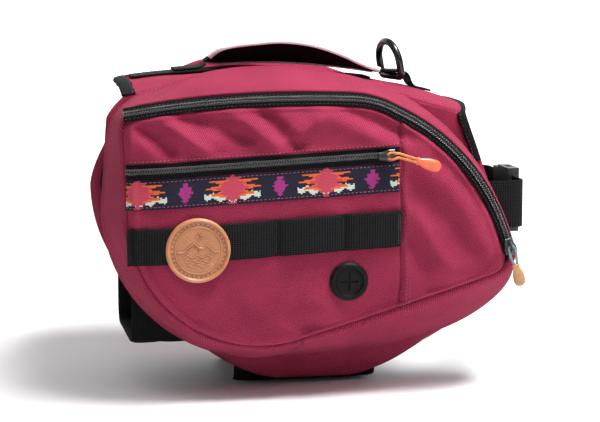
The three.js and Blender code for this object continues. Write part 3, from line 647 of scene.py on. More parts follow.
# Soft folds of the front panel: start, end (X, Z), half width, height; negative heights are hollows.
FOLDS = (
    ((-112, 206), (-84, 184), 5, 2.2), ((-96, 207), (-56, 192), 6, -2.4), ((-128, 199), (-108, 183), 5, -2.4),
    ((-137, 190), (-120, 183), 6, 1.4), ((-62, 210), (-34, 187), 6, 2.2), ((-40, 208), (-16, 185), 5, -2.4),
    ((-4, 203), (-22, 192), 5, 1.6),
    ((24, 208), (64, 192), 6, -2.1), ((2, 211), (42, 189), 8, 1.5), ((66, 200), (98, 174), 8, 1.4),
    ((64, 160), (98, 126), 8, -2.0), ((66, 136), (94, 94), 7, 1.7), ((68, 112), (84, 78), 6, -1.7),
    ((92, 158), (122, 108), 10, 1.6), ((86, 176), (116, 146), 7, -1.4), ((104, 112), (126, 96), 7, -1.2),
    ((-20, 62), (2, 50), 8, -1.9), ((-64, 66), (-38, 52), 9, -1.0), ((4, 70), (30, 54), 8, 1.2),
    ((-110, 96), (-86, 72), 8, 1.1), ((-126, 108), (-104, 80), 6, -1.0), ((22, 66), (52, 72), 7, -1.1),
    ((-130, 146), (-112, 138), 5, -1.0), ((-120, 176), (-60, 170), 4, 0.5),
)


def fold_height(x, z, folds):
    """Sum of soft folds; each fades out past the ends of its line."""
    total = np.zeros_like(x)
    for start, end, width, height in folds:
        a, b = np.array(start, float), np.array(end, float)
        axis = b - a
        length = np.linalg.norm(axis)
        axis /= length
        along = (x - a[0]) * axis[0] + (z - a[1]) * axis[1]
        off = (x - a[0]) * -axis[1] + (z - a[1]) * axis[0]
        past = np.maximum(0, np.maximum(-along, along - length))
        total += height * np.exp(-(off / width) ** 2 - (past / (width * 1.2)) ** 2)
    return total


def ripple(x, z, seed=0.0, size=26.0):
    """Broad uneven ripples of slack cloth, made of a few crossed waves."""
    total = 0.0
    for k, (turn, scale) in enumerate(((0.4, 1.0), (1.5, 1.37), (2.3, 0.77), (2.9, 1.9))):
        phase = seed + 1.7 * k
        across = x * math.cos(turn) + z * math.sin(turn)
        bend = 0.8 * np.sin(x / size + z / (size * 1.3) + phase)
        total = total + np.sin(across * 2 * math.pi / (size * scale) + phase + bend)
    return total / 4


def bell(value, width):
    return np.exp(-(value / width) ** 2)


def panel_out(x, z, folds=FOLDS, seed=0.0):
    """How far the front panel's face stands towards the viewer from its seam plane."""
    share = panel_share(x, z)
    roll = np.clip((share - FLAT_SHARE) / (1 - FLAT_SHARE), 0, 1)
    base = BULGE * (1 - roll**2)
    pocket = POCKET_ZIP_Z + SLOPE * x
    calm = 1.0
    for height, reach in ((POCKET_ZIP_Z, 7), (RIBBON_Z, 12), (WEBBING_Z, 14)):
        on_trim = bell((z - height - SLOPE * x) / reach, 1.0) * (x < POCKET_END + 3)
        calm = calm * (1 - 0.8 * on_trim)
    calm = calm * (1 - bell(np.hypot(x - PORT_X, z - PORT_Z) / 19, 1.0))
    calm = calm * (1 - bell(np.hypot(x - BADGE_X, z - BADGE_Z) / 30, 1.0))
    slack = 2.2 * fold_height(x, z, folds) + ripple(x, z, seed)
    slack = slack * calm * np.clip((1.02 - share) / 0.12, 0.15, 1)
    seam = -2.6 * bell(x - POCKET_END - 1.8, 0.9) + 1.2 * bell(x - POCKET_END - 5, 2.5)
    hem = 0.9 * bell(z - pocket - 7.2, 1.6) * (x < POCKET_END)
    tacks = -0.9 * sum(bell(x - t, 3) for t in WEBBING_TACKS) * bell(z - WEBBING_Z - SLOPE * x, 15)
    edge = 1.5 * bell(share - 0.963, 0.018) - 2.6 * bell(share - 1.0, 0.011)
    return base + slack + seam + hem + tacks + edge


def on_panel(x, z, half=0.0, lift=0.0):
    """Pattern points on the front panel, just proud of it within half above and below."""
    x, z = np.broadcast_arrays(np.asarray(x, float), np.asarray(z, float))
    proud = np.max([panel_out(x, z + step) for step in np.linspace(-half, half, 5 if half else 1)], axis=0)
    return np.stack([x, SEAM_Y - proud - lift, z], -1)


# ---------- Fabric shells of the pouches ----------


def towards(outline, centre, share):
    """Rings of X and Z that shrink from an outline towards a centre, one for each share of the way out."""
    flat = centre + (outline - centre)[None] * share[:, None, None]
    return flat[..., 0], flat[..., 1]


def closed_to_middle(points, side):
    """Vertices and faces of rings of pattern points, the last ring closed by a fan to its middle."""
    rows, cols, _ = points.shape
    verts = place(points, side).reshape(-1, 3)
    verts = np.vstack([verts, verts[-cols:].mean(0)])
    last = (rows - 1) * cols
    fan = [(last + i, last + (i + 1) % cols, rows * cols) for i in range(cols)]
    return verts, grid_faces(rows, cols, False, True) + fan


def flat_uv(points):
    """UVs straight from X and Z, with one more for the middle of the last ring."""
    uvs = points[..., [0, 2]].reshape(-1, 2) * MM
    return np.vstack([uvs, uvs[-points.shape[1]:].mean(0)])


def front_panel(name, side):
    rings = 84
    share = 1 - np.linspace(0, 1, rings) ** 1.15 * 0.995
    x, z = towards(FRONT_OUTLINE, PANEL_CENTRE, share)
    folds = FOLDS if side > 0 else tuple(
        ((a[0] + 9, a[1] - 3), (b[0] + 12, b[1]), width, -height * 0.8) for a, b, width, height in FOLDS)
    points = np.stack([x, SEAM_Y - panel_out(x, z, folds, 0.0 if side > 0 else 2.1), z], -1)
    lip = points[:1].copy()
    lip[..., 1] += 3.0
    lip[..., [0, 2]] = PANEL_CENTRE + (lip[..., [0, 2]] - PANEL_CENTRE) * 0.985
    points = np.concatenate([lip, points])
    verts, faces = closed_to_middle(far_side_sag(points, side), side)
    piece = new_piece(name + "_front_panel_cloth", verts, faces, "berry", "pack",
                      (name + "_front_panel",), flat_uv(points))
    thicken(piece, CLOTH_THICK)


ZIPPED = np.zeros(len(FRONT_OUTLINE))
ZIPPED[ZIP_START:ZIP_END] = 1.0
SOFTEN = np.hanning(25) / np.hanning(25).sum()
ZIPPED = np.convolve(np.concatenate([ZIPPED[-40:], ZIPPED, ZIPPED[:40]]), SOFTEN, "same")[40:-40]


def gusset(name, side):
    depth = np.concatenate([[0.0], np.linspace(0.03, 1.0, 40)])
    count = len(FRONT_OUTLINE)
    join = sum(OUTLINE_COUNTS[:7])  # the strip's ends meet underneath
    along = np.roll(arc_lengths(np.roll(FRONT_OUTLINE, -join, 0)), join)
    low = np.clip((110 - FRONT_OUTLINE[:, 1]) / 50, 0, 1)
    joined = np.clip(np.minimum(along, along[-1] - along) / 30, 0, 1)  # no step where the strip's ends meet
    rings = []
    for d in depth:
        full = min(1.0, d / RIDGE_SHARE)
        swell = math.sin(math.pi * full)
        ring = pouch_outline(full**0.86, (ZIP_RISE + 0.6) * (1 - full) ** 1.2)
        y = np.interp(d, (0, 0.03, RIDGE_SHARE, 1.0), (-107.6, -109.6, RIDGE_Y, BACK_Y))
        y = y + 2.2 * ZIPPED * (1 - min(1.0, d / 0.2))
        inward = 1.6 if d == 0 else 0.0
        tuck = 6.5 * max(0.0, (d - RIDGE_SHARE) / 0.16) ** 1.5
        slack = 1.4 * joined * ripple(along, np.full(count, d * 60.0), 1.3 + side, 34.0) * swell
        slack = slack + 0.7 * joined * np.sin(along / 9.0 + 3 * d) * bell(d - 0.15, 0.12) * (1 - ZIPPED)
        slack = slack + 2.6 * low * swell
        welt = 2.0 * bell(d - 0.075, 0.03) * (1 - 0.7 * ZIPPED) + 1.0 * bell(d - RIDGE_SHARE, 0.03)
        ring = ring + outline_normals(ring) * (slack + welt - inward - tuck)[:, None]
        rings.append(np.stack([ring[:, 0], np.broadcast_to(y, (count,)), ring[:, 1]], 1))
    points = np.array(rings)
    uv = np.stack(np.broadcast_arrays(along[None] * MM, depth[:, None] * 52 * MM), -1).reshape(-1, 2)
    piece = new_piece(name + "_gusset_cloth", place(far_side_sag(points, side), side).reshape(-1, 3),
                      grid_faces(len(depth), count, False, True), "berry", "pack",
                      (name + "_gusset",), uv)
    thicken(piece, CLOTH_THICK)


def side_outline(shrink):
    """Outline of the saddle's side panel in X and Z, following the saddle's top."""
    xs = np.linspace(-134 + shrink, 122 - shrink, 60, endpoint=False)
    top = np.stack([xs, saddle_top(xs, SADDLE_HALF) - 1.2 - shrink], 1)
    front_top = (122 - shrink, float(saddle_top(122 - shrink, SADDLE_HALF)) - 1.2 - shrink)
    return np.vstack([
        top,
        bezier2(front_top, (143 - shrink, 150), (154 - shrink, 108), 24),
        bezier2((154 - shrink, 108), (148 - shrink, 56 + shrink), (92, 30 + shrink), 24),
        bezier2((92, 30 + shrink), (62, 9 + shrink), (34, 5 + shrink), 20),
        np.stack([np.linspace(34, -20, 20, endpoint=False), np.full(20, 5.0 + shrink)], 1),
        bezier2((-20, 5 + shrink), (-60, 11 + shrink), (-92, 46 + shrink), 24),
        bezier2((-92, 46 + shrink), (-149 + shrink, 84 + shrink), (-149 + shrink, 150), 30),
        bezier2((-149 + shrink, 150), (-148 + shrink, 180), (-146 + shrink, 203 - shrink), 12),
        bezier2((-146 + shrink, 203 - shrink), (-141 + shrink, 212 - shrink),
                (-134 + shrink, 217 - shrink), 6),
    ])


def side_panel(name, side):
    """Side of the saddle; its lower part hangs below the pouch as a slack skirt."""
    outline = side_outline(0.0)
    share = np.linspace(1, 0.02, 46)
    x, z = towards(outline, SIDE_CENTRE, share)
    hang = np.clip((70 - z) / 60, 0, 1)
    skirt = 9.0 * np.sin(math.pi * hang ** 0.8) + 1.5 * hang
    pleats = 1.6 * hang * np.sin(x / 13.0 + 1.1) + 2.0 * hang * bell(x + 10 - z * 0.3, 7)
    edge = np.clip((1 - share) / 0.05, 0, 1)[:, None]
    y = -57.4 - (skirt + pleats) * edge - 0.5 * ripple(x, z, 3.1, 40.0) * edge
    points = np.stack([x, y, z], -1)
    verts, faces = closed_to_middle(far_side_sag(points, side), side)
    piece = new_piece(name + "_side_cloth", verts, faces, "berry", "pack",
                      (name + "_side_panel",), flat_uv(points))
    thicken(piece, 1.6)
    hem = SIDE_CENTRE + (outline - SIDE_CENTRE) * 0.972
    hem = np.stack([hem[:, 0], np.full(len(hem), -57.9), hem[:, 1]], 1)
    # These stitches use the darker thread: painted shade for the skirt's shadow under the pouch.
    stitches(name + "_side_hem", hem[60:190], (0, -1, 0), "shaded_seam_thread", "pack", mirror=side)


def side_lining(name, side):
    share = np.linspace(1, 0.02, 30)
    x, z = towards(side_outline(3.5), SIDE_CENTRE, share)
    puff = 1.1 * np.abs(np.sin(x * math.pi / 34.0)) * np.clip((1 - share) / 0.1, 0, 1)[:, None]
    points = far_side_sag(np.stack([x, -51.2 + puff, z], -1), side)
    verts, faces = closed_to_middle(points, side)
    uvs = np.vstack([points[..., [0, 2]].reshape(-1, 2), SIDE_CENTRE]) * MM
    piece = new_piece(name + "_lining_cloth", verts, faces, "lining", "pack",
                      (name + "_side_lining",), uvs)
    thicken(piece, 3.5)


# ---------- Zips and panel trims ----------


COIL = {"width": 2.2, "pitch": 1.9, "radius": 0.5}


def teeth(name, path, across, out, mirror, width, pitch, radius):
    """A coil zip's two rows of slanted turns, along a path."""
    lengths = arc_lengths(path)
    count = int(lengths[-1] / pitch)
    centres = (np.arange(count) + 0.5) * pitch
    along = unit(np.gradient(path, axis=0))
    at, side_way, up, forth = (at_lengths(centres, lengths, values) for values in (path, across, out, along))
    ring = np.array([(math.cos(a), math.sin(a)) for a in np.linspace(0, 2 * math.pi, 6, endpoint=False)])
    verts, faces = [], []
    for row in (-1, 1):
        for p, s, u, f in zip(at, side_way, up, forth):
            start = p + s * row * 0.15
            end = p + s * row * width - f * pitch * 1.1
            axis = (end - start) / np.linalg.norm(end - start)
            thick = np.cross(axis, u)
            base = len(verts)
            for t, grow in ((0.0, 0.75), (0.35, 1.0), (0.8, 0.95), (1.0, 0.55)):
                middle = start + (end - start) * t + u * (0.35 * math.sin(math.pi * t) + radius * 0.4)
                verts += [middle + (thick * c + u * d * 1.25) * radius * grow for c, d in ring]
            for k in range(3):
                for i in range(6):
                    j = (i + 1) % 6
                    low = base + k * 6
                    faces.append((low + i, low + j, low + 6 + j, low + 6 + i))
            faces += [tuple(base + i for i in range(5, -1, -1)), tuple(base + 18 + i for i in range(6))]
    return new_piece(name, place(np.array(verts), mirror), faces, "coil", "pack")


def zip_edge(grow):
    """One edge of the main zip's tape: straight out of the rear seam, along the top and round the nose."""
    ring = pouch_outline(0.0, grow)[OUTLINE_COUNTS[0] + OUTLINE_COUNTS[1]:ZIP_END]
    step = ring[0] - ring[2]
    lead = ring[0] + step / np.linalg.norm(step) * np.linspace(12.5, 1.5, 9)[:, None]
    return np.vstack([lead, ring])


def main_zip(name, side):
    """Tape and coil along the pouch's top and round its nose."""
    inner, outer = zip_edge(0.0), zip_edge(ZIP_RISE)
    steps = np.linspace(-0.2, 1.12, 13)
    low = np.stack([inner[:, 0], np.full(len(inner), SEAM_Y - 2.0), inner[:, 1]], 1)
    high = np.stack([outer[:, 0], np.full(len(inner), SEAM_Y + 1.5), outer[:, 1]], 1)
    points = low[:, None] + (high - low)[:, None] * steps[None, :, None]
    crown = np.sin(math.pi * np.clip((steps + 0.2) / 1.32, 0, 1))
    points[..., 1] -= crown
    points = far_side_sag(points, side)
    tape = sheet_piece(name + "_main_zip_tape", points, "tape", "pack", (name + "_main_zip",),
                       side=side)
    thicken(tape, 0.7)
    middle = (points[:, 6] + points[:, 7]) / 2
    across = unit(points[:, 8] - points[:, 4])
    along = unit(np.gradient(middle, axis=0))
    out = np.cross(across, along)
    out *= np.where(out[:, 1:2] > 0, -1, 1)
    teeth(name + "_main_zip_coil", middle + out * 0.25, across, out, side, **COIL)
    for column, label in ((2, "low"), (10, "high")):
        stitches(name + "_main_zip_stitch_" + label, points[:, column] + out * 0.1, out, "black_thread",
                 "pack", radius=0.22, mirror=side)


TRIM_START = -138.0  # rear ends of the trims, at the panel's seam


def trim_strip(name, mid, half, thick, look, replaces, side, end=POCKET_END, profile=None, across=13):
    """A strip of trim lying on the front panel, climbing with SLOPE."""
    xs = np.concatenate([np.linspace(TRIM_START, -120, 24, endpoint=False), np.linspace(-120, end, 110)])
    steps = np.linspace(-1, 1, across)
    x = xs[:, None] + 0 * steps[None]
    z = mid + SLOPE * x + half * steps[None]
    centre = on_panel(xs, mid + SLOPE * xs, half * 0.8, thick)
    lift = centre[:, 1][:, None] + 0 * x
    close = on_panel(x, z, 1.0, thick)[..., 1]
    y = np.minimum(close, lift + 0.6) * 0.5 + np.minimum(close, lift) * 0.5
    if profile is not None:
        y = y - profile(x, steps[None] * half)
    points = far_side_sag(np.stack([x, y, z], -1), side)
    piece = sheet_piece(name, points, look, "pack", replaces, side=side)
    thicken(piece, thick)
    return points


def pocket_zip(name, side):
    fold = lambda x, v: 0.7 * bell(v, 3.0) + 0 * x
    points = trim_strip(name + "_pocket_zip_tape", POCKET_ZIP_Z, 5.4, 0.6, "tape",
                        (name + "_pocket_zip",), side, profile=fold)
    middle = points[:, 7] * 0.6 + points[:, 6] * 0.4
    across = np.tile(np.array([-SLOPE, 0.0, 1.0]), (len(middle), 1))
    out = np.tile(np.array([0.0, -1.0, 0.0]), (len(middle), 1))
    teeth(name + "_pocket_zip_coil", middle + out * 0.3, across, out, side, **COIL)
    for offset in (7.4, -6.6):
        xs = np.linspace(TRIM_START + 2, POCKET_END, 160)
        line = far_side_sag(on_panel(xs, POCKET_ZIP_Z + offset + SLOPE * xs, 0, 0.2), side)
        stitches(name + "_pocket_stitch_" + ("top" if offset > 0 else "low"), line, (0, -1, 0),
                 "berry_thread", "pack", mirror=side)


def ribbon(name, side):
    points = trim_strip(name + "_pocket_ribbon_cloth", RIBBON_Z, 10.6, 0.7, "ribbon",
                        (name + "_pocket_ribbon",), side)
    for column, label in ((1, "low"), (-2, "top")):
        stitches(name + "_ribbon_stitch_" + label, points[:, column] - [0, 0.1, 0], (0, -1, 0),
                 "berry_thread", "pack", mirror=side)


def gear_webbing(name, side):
    first, last = WEBBING_TACKS

    def belly(x, v):
        """The strap swells between its tacks and is drawn in at each."""
        swell = 2.2 * np.abs(np.sin((x - first) * math.pi / (last - first))) ** 0.6
        return swell - 1.2 * sum(bell(x - t, 3.0) for t in WEBBING_TACKS) + 0 * v

    points = trim_strip(name + "_gear_webbing_strap", WEBBING_Z, 13.0, 1.6, "webbing",
                        (name + "_gear_webbing",), side, end=POCKET_END + 1, profile=belly)
    xs = points[:, 0, 0]
    for k, tack in enumerate((*WEBBING_TACKS, POCKET_END - 1.0)):
        row = points[np.argmin(np.abs(xs - tack))]
        for shift in (-0.7, 0.7):
            line = row[1:-1] + [shift, -0.1, 0]
            stitches(name + f"_bar_tack_{k}_{'a' if shift < 0 else 'b'}", line, (0, -1, 0), "black_thread",
                     "pack", pitch=1.5, length=1.3, mirror=side)


def upright_seam(name, side):
    zs = np.linspace(62, 182, 90)
    for offset in (4.0, 7.0):
        lean = (zs - 120) * -0.05
        line = far_side_sag(on_panel(POCKET_END + offset + lean, zs, 0, 0.2), side)
        # Darker thread: painted shade for the seam's groove.
        stitches(name + f"_upright_stitch_{int(offset)}", line, (0, -1, 0), "shaded_seam_thread", "pack",
                 mirror=side)


# ---------- Zip pulls ----------

BAIL_Y = -4.0  # how far the slider's bail stands out
POCKET_PULL_X = 47
MAIN_PULL_TURN = 15.5


def turned(points, turn_deg, origin):
    """Points of a pull drawn along X, turned about Y and moved to their slider."""
    turn = math.radians(turn_deg)
    p = np.asarray(points, float)
    x = p[..., 0] * math.cos(turn) + p[..., 2] * math.sin(turn)
    z = -p[..., 0] * math.sin(turn) + p[..., 2] * math.cos(turn)
    return np.stack([x, p[..., 1], z], -1) + np.asarray(origin, float)


def pull(name, side, kind, length, grip_length, droop, turn_deg, origin, cord_look, grip_look):
    body = f"{name}_{kind}_zip_pull"
    fall = lambda x: np.maximum(0, x - 8) * math.tan(math.radians(droop))
    half = np.array([[length + 2, 0.9], [length, 1.2], [8, 1.5 if kind == "pocket" else 2.2],
                     [3.5, 2.2], [0.6, 1.7], [-0.3, 0]])
    back = half[:-1][::-1] * [1, -1]
    flat = smooth_path(np.vstack([half, back]), 70)
    twist = 0.5 * np.sin(flat[:, 0] * 0.9) * (flat[:, 0] > 4)
    loop = np.stack([flat[:, 0], BAIL_Y + twist, flat[:, 1] - fall(flat[:, 0])], 1)
    loop = turned(loop, turn_deg, origin)
    sweep_piece(f"{name}_{kind}_pull_braid", loop, (0, 1, 0), wire_section(1.0, 10), cord_look, body,
                (f"{name}_{kind}_pull_cord",), mirror=side)
    profile = np.array([[0, 0.6], [0.2, 2.2], [1.2, 3.0], [2.4, 2.5], [4, 2.9], [grip_length * 0.45, 4.1],
                        [grip_length * 0.72, 4.4], [grip_length - 2.2, 3.7], [grip_length - 0.6, 2.2],
                        [grip_length, 0.3]])
    spine = smooth_path(profile, 40)
    turns = np.linspace(0, 2 * math.pi, 24, endpoint=False)
    x = length + 0.4 + spine[:, :1] + 0 * turns[None]
    rings = np.stack([x, BAIL_Y + 0.62 * spine[:, 1:] * np.sin(turns), spine[:, 1:] * np.cos(turns)], -1)
    lean = math.radians(droop)
    rel = rings - [length, BAIL_Y, 0]
    rings = np.stack([rel[..., 0] * math.cos(lean) + rel[..., 2] * math.sin(lean) + length,
                      rel[..., 1] + BAIL_Y,
                      -rel[..., 0] * math.sin(lean) + rel[..., 2] * math.cos(lean) - fall(length)], -1)
    rings = turned(rings, turn_deg, origin)
    new_piece(f"{name}_{kind}_pull_drop", place(rings, side).reshape(-1, 3), tube_faces(*rings.shape[:2]),
              grip_look, body, (f"{name}_{kind}_pull_grip",))


def pulls(name, side):
    slope = -math.degrees(math.atan(SLOPE))
    pull(name, side, "pocket", 20, 19, 20, slope,
         (POCKET_PULL_X, SEAM_Y - BULGE - 3.1, POCKET_ZIP_Z + SLOPE * POCKET_PULL_X),
         "orange_cord", "orange")
    turn = math.radians(MAIN_PULL_TURN)
    reach = ARC_R + ZIP_RISE / 2
    pull(name, side, "main", 13, 17, 0, 90 - MAIN_PULL_TURN,
         (ARC_X + reach * math.cos(turn), SEAM_Y - 3.6, ARC_Z + reach * math.sin(turn)),
         "teal_cord", "tan")


# ---------- Badge ----------

BADGE_BACK = SEAM_Y - BULGE - 2.4


def badge_height(u, v):
    """Relief of the embossed badge: rim, inner ring, a range of peaks over waves and a compass star."""
    r = np.hypot(u, v)
    height = 2.4 + 0.85 * bell(r - 21.3, 1.15) + 0.35 * bell(r - 16.6, 0.45) - 0.3 * bell(r - 18.9, 1.6)
    inside = np.clip((15.6 - r) / 0.8, 0, 1)
    cone = lambda at, width: np.maximum(0, 1 - np.abs(u - at) / width)
    peaks = -1.0 + 6.4 * cone(-3.4, 7.4) + 4.6 * cone(6.2, 5.6)
    snow = -1.0 + 3.6 * cone(-3.4, 3.4) + 1.6 * np.abs(np.sin(u * 1.25))
    height = height + inside * 0.55 * bell(v - peaks, 0.5)
    height = height + inside * 0.35 * bell(v - snow, 0.35) * (np.abs(u + 3.4) < 4)
    for level in (-4.0, -7.4, -10.8):
        crest = v - level - 0.9 * np.sin(u * 0.9 + level)
        height = height + inside * 0.4 * bell(crest, 0.42) * (np.abs(u) < 12.5 + level * 0.4)
    su, sv = u - 0.6, v - 10.2
    star = np.abs(su) ** 0.62 + np.abs(sv) ** 0.62
    height = height + inside * 0.5 * bell(star - 1.9, 0.28)
    ticks = np.cos(np.arctan2(v, u) * 36)
    height = height + 0.28 * bell(r - 18.8, 0.75) * (ticks > 0.35)
    return 2.2 + 1.5 * (height - 2.4)


def badge():
    radii = np.concatenate([np.linspace(0.3, 22.4, 90), [22.8, BADGE_R]])
    turns = np.linspace(0, 2 * math.pi, 200, endpoint=False)
    u, v = radii[:, None] * np.cos(turns), radii[:, None] * np.sin(turns)
    height = badge_height(u, v)
    height[-1] = 1.9
    rows = np.stack([BADGE_X + u, BADGE_BACK - height, BADGE_Z + v], -1)
    base = rows[-1:].copy()
    base[..., 1] = BADGE_BACK
    rows = np.concatenate([rows, base])
    new_piece("badge_disc", place(rows).reshape(-1, 3), tube_faces(len(rows), len(turns)), "leather", "pack",
              ("leather_badge",))


# ---------- Saddle ----------


def saddle_edge(y):
    """Front edge of the saddle: it draws back towards the sides."""
    return SADDLE_FRONT - 8.5 * np.abs(np.asarray(y) / SADDLE_HALF) ** 2


def saddle_rear(y):
    """Rear edge of the saddle: its far corner has slumped towards the head."""
    return SADDLE_REAR + 28.0 * np.clip(np.asarray(y) / SADDLE_HALF, 0, 1) ** 2


def saddle_cloth():
    ys = np.linspace(-SADDLE_HALF, SADDLE_HALF, 60)
    t = np.linspace(0, 1, 120)
    rear = saddle_rear(ys)[None]
    x = rear + (saddle_edge(ys)[None] - rear) * t[:, None]
    y = ys[None] + 0 * x
    wrinkle = 0.6 * ripple(x, y, 5.0, 38.0) * np.clip(np.minimum(t, 1 - t)[:, None] / 0.06, 0, 1)
    z = saddle_lie(x, y) + wrinkle - np.clip((np.abs(y) - 50) / 7.5, 0, 1) ** 2 - 0.2
    piece = sheet_piece("saddle_cloth", np.stack([x, y, z], -1), "berry", "pack",
                        ("spine_panel",))
    thicken(piece, 2.0)
    for y0, label in ((-54.5, "right"), (54.5, "left")):
        xs = np.linspace(-132, 120, 160)
        line = np.stack([xs, np.full(160, y0), saddle_top(xs, y0) + 0.35], 1)
        stitches("saddle_stitch_" + label, line, (0, 0, 1), "berry_thread", "pack")


def spine_pad():
    xs, ys = np.linspace(-128, 121, 110), np.linspace(-48, 48, 70)
    x, y = np.meshgrid(xs, ys, indexing="ij")
    edge = np.minimum(np.minimum(x + 128, 121 - x), np.minimum(y + 48, 48 - y))
    round_off = np.clip(edge / 5, 0, 1) ** 0.5
    channels = np.abs(np.sin(x * math.pi / 62.0)) ** 0.35
    thick = 1.0 + 5.4 * round_off * (0.45 + 0.55 * channels)
    top = saddle_lie(x, y) - 3.8
    upper, lower = np.stack([x, y, top], -1), np.stack([x, y, top - thick], -1)
    shell = closed_slab("spine_padding", upper, lower, "lining", "pack", ("spine_pad",))


def closed_slab(name, upper, lower, look, body, replaces, side=1.0):
    """A closed pad between two grids of pattern points of the same size."""
    rows, cols, _ = upper.shape
    verts = np.vstack([place(upper, side).reshape(-1, 3), place(lower, side).reshape(-1, 3)])
    size = rows * cols
    shown = grid_faces(rows, cols)
    faces = shown + [tuple(size + i for i in reversed(face)) for face in shown]
    rim = list(range(cols)) + [r * cols + cols - 1 for r in range(1, rows)]
    rim += [(rows - 1) * cols + c for c in range(cols - 2, -1, -1)]
    rim += [r * cols for r in range(rows - 2, 0, -1)]
    for i, here in enumerate(rim):
        after = rim[(i + 1) % len(rim)]
        faces.append((here, size + here, size + after, after))
    uv = cloth_uv(place(upper))
    return new_piece(name, verts, faces, look, body, replaces, np.vstack([uv, uv]))


def spine_strap():
    xs = np.linspace(-122, 60, 100)
    path = np.stack([xs, np.zeros(100), saddle_lie(xs) + 1.2], 1)
    sweep_piece("spine_strap", path, (0, -1, 0), strap_section(12.5, 1.6), "webbing", "pack",
                ("spine_webbing",))
    for y0, label in ((-10.8, "right"), (10.8, "left")):
        line = path + [0, y0, 0.85]
        stitches("spine_strap_stitch_" + label, line, (0, 0, 1), "black_thread", "pack",
                 radius=0.25)


def edge_tape(name, path, inward, out, width, body, replaces, seed):
    """Grosgrain folded over a cloth edge; its sewn edge wanders a little."""
    path = smooth_path(path, 120)
    count = len(path)
    inward, out = unit(smooth_path(inward, count)), unit(smooth_path(out, count))
    wander = 0.5 * np.sin(np.arange(count) * 0.31 + seed) + 0.35 * np.sin(np.arange(count) * 0.83 + 2 * seed)
    profile = [(width, 0.35), (width * 0.6, 0.75), (1.5, 0.9), (-0.4, 0.6), (-0.9, -0.6), (-0.6, -2.0),
               (1.0, -2.6), (width * 0.7, -2.5)]
    points = np.stack([path + inward * (a + wander * 0.8 * (a > 1))[:, None] + out * h
                       for a, h in profile], 1)
    piece = sheet_piece(name, points, "binding", body, replaces)
    thicken(piece, 0.8)
    line = path + inward * (width - 1.6 + 0.5 * wander)[:, None] + out * 0.85
    stitches(name + "_stitch", line, out, "black_thread", body, radius=0.3)


def bindings():
    ys = np.linspace(-57.6, 57.6, 17)
    side_way = np.sign(ys) * np.abs(ys / 57.6) ** 8
    path = np.stack([saddle_rear(ys), ys, saddle_top(saddle_rear(ys), ys) + 0.3], 1)
    out = np.stack([0 * ys, side_way, 1 - 0.3 * np.abs(side_way)], 1)
    inward = np.tile([[1.0, 0.0, 0.12]], (17, 1))
    edge_tape("rear_edge_tape", path, inward, out, 9, "pack", ("rear_binding",), 0.7)
    ys = np.linspace(-57.9, 57.9, 13)
    xs = saddle_edge(ys)
    top = np.stack([xs, ys, saddle_top(xs, ys) + 0.4 - 0.8 * (np.abs(ys) > 56)], 1)
    sides = np.array([[134.5, 166.0], [131.5, 175.0], [127.5, 186.0], [124.3, 195.0]])
    right = np.stack([sides[:, 0], np.full(4, -58.9), sides[:, 1]], 1)
    left = (right * [1, -1, 1])[::-1]
    path = np.vstack([right, top, left])
    out_top = np.stack([0 * ys, np.sign(ys) * np.abs(ys / 57.9) ** 6, 1 - 0.3 * np.abs(ys / 57.9) ** 6], 1)
    out = np.vstack([np.tile([[0.0, -1.0, 0.0]], (4, 1)), out_top, np.tile([[0.0, 1.0, 0.0]], (4, 1))])
    inward = np.vstack([np.tile([[-1.0, 0.0, -0.3]], (4, 1)), np.tile([[-1.0, 0.0, 0.2]], (13, 1)),
                        np.tile([[-1.0, 0.0, -0.3]], (4, 1))])
    edge_tape("front_edge_tape", path, inward, out, 6, "pack", ("front_binding",), 2.2)


# ---------- Handle and leash ring ----------

RING_X = 80.0
RING_BAR_Z = float(saddle_top(RING_X)) + 4.8  # height of the ring's straight bar

RAISED_EDGE = np.array([[-66, 240], [-60, 246.5], [-48, 250], [-28, 252.2], [-8, 253.2], [15, 250], [36, 243],
                        [55, 234.8], [71, 230.5]])


def handle_rows():
    edge = smooth_path(np.stack([RAISED_EDGE[:, 0], np.full(9, -16.0), RAISED_EDGE[:, 1]], 1), 120)
    x = edge[:, 0]
    far = np.stack([x, np.full(120, 16.0), saddle_top(x, 16.0) + 5], 1)
    a = unit(far - edge)
    ease = np.clip(np.minimum(x + 66, 71 - x) / 14, 0, 1)
    half = 7.5 + 11.0 * np.sin(ease * math.pi / 2)
    b = np.stack([0 * x, -a[:, 2], a[:, 1]], 1)
    return (edge + far) / 2, a, b, half


def handle():
    middle, a, b, half = handle_rows()
    section = strap_section(1.0, 3.0, 0.9, 4, 16)
    arch = 1.6 * (1 - section[:, 0] ** 2)
    rings = middle[:, None] + a[:, None] * (half[:, None] * section[:, 0])[..., None]
    rings = rings + b[:, None] * (section[:, 1] + arch)[None, :, None]
    lengths = arc_lengths(middle) * MM
    uv = np.stack(np.meshgrid(lengths, section[:, 0] * 18.5 * MM, indexing="ij"), -1).reshape(-1, 2)
    new_piece("handle_grip", place(rings).reshape(-1, 3), tube_faces(*rings.shape[:2]), "handle", "handle",
              ("handle_strap",), uv)
    for sign, label in ((-1, "near"), (1, "far")):
        line = middle + a * (sign * (half + 1.1))[:, None] + b * 0.4
        sweep_piece("handle_roll_" + label, line[3:-3], (0, 1, 0), wire_section(1.9, 14), "piping", "handle",
                    ("handle_piping_" + label,))
        seam = middle + a * (sign * (half - 1.6))[:, None] + b * 2.2
        stitches("handle_stitch_" + label, seam[3:-3], b[3:-3], "black_thread", "handle")


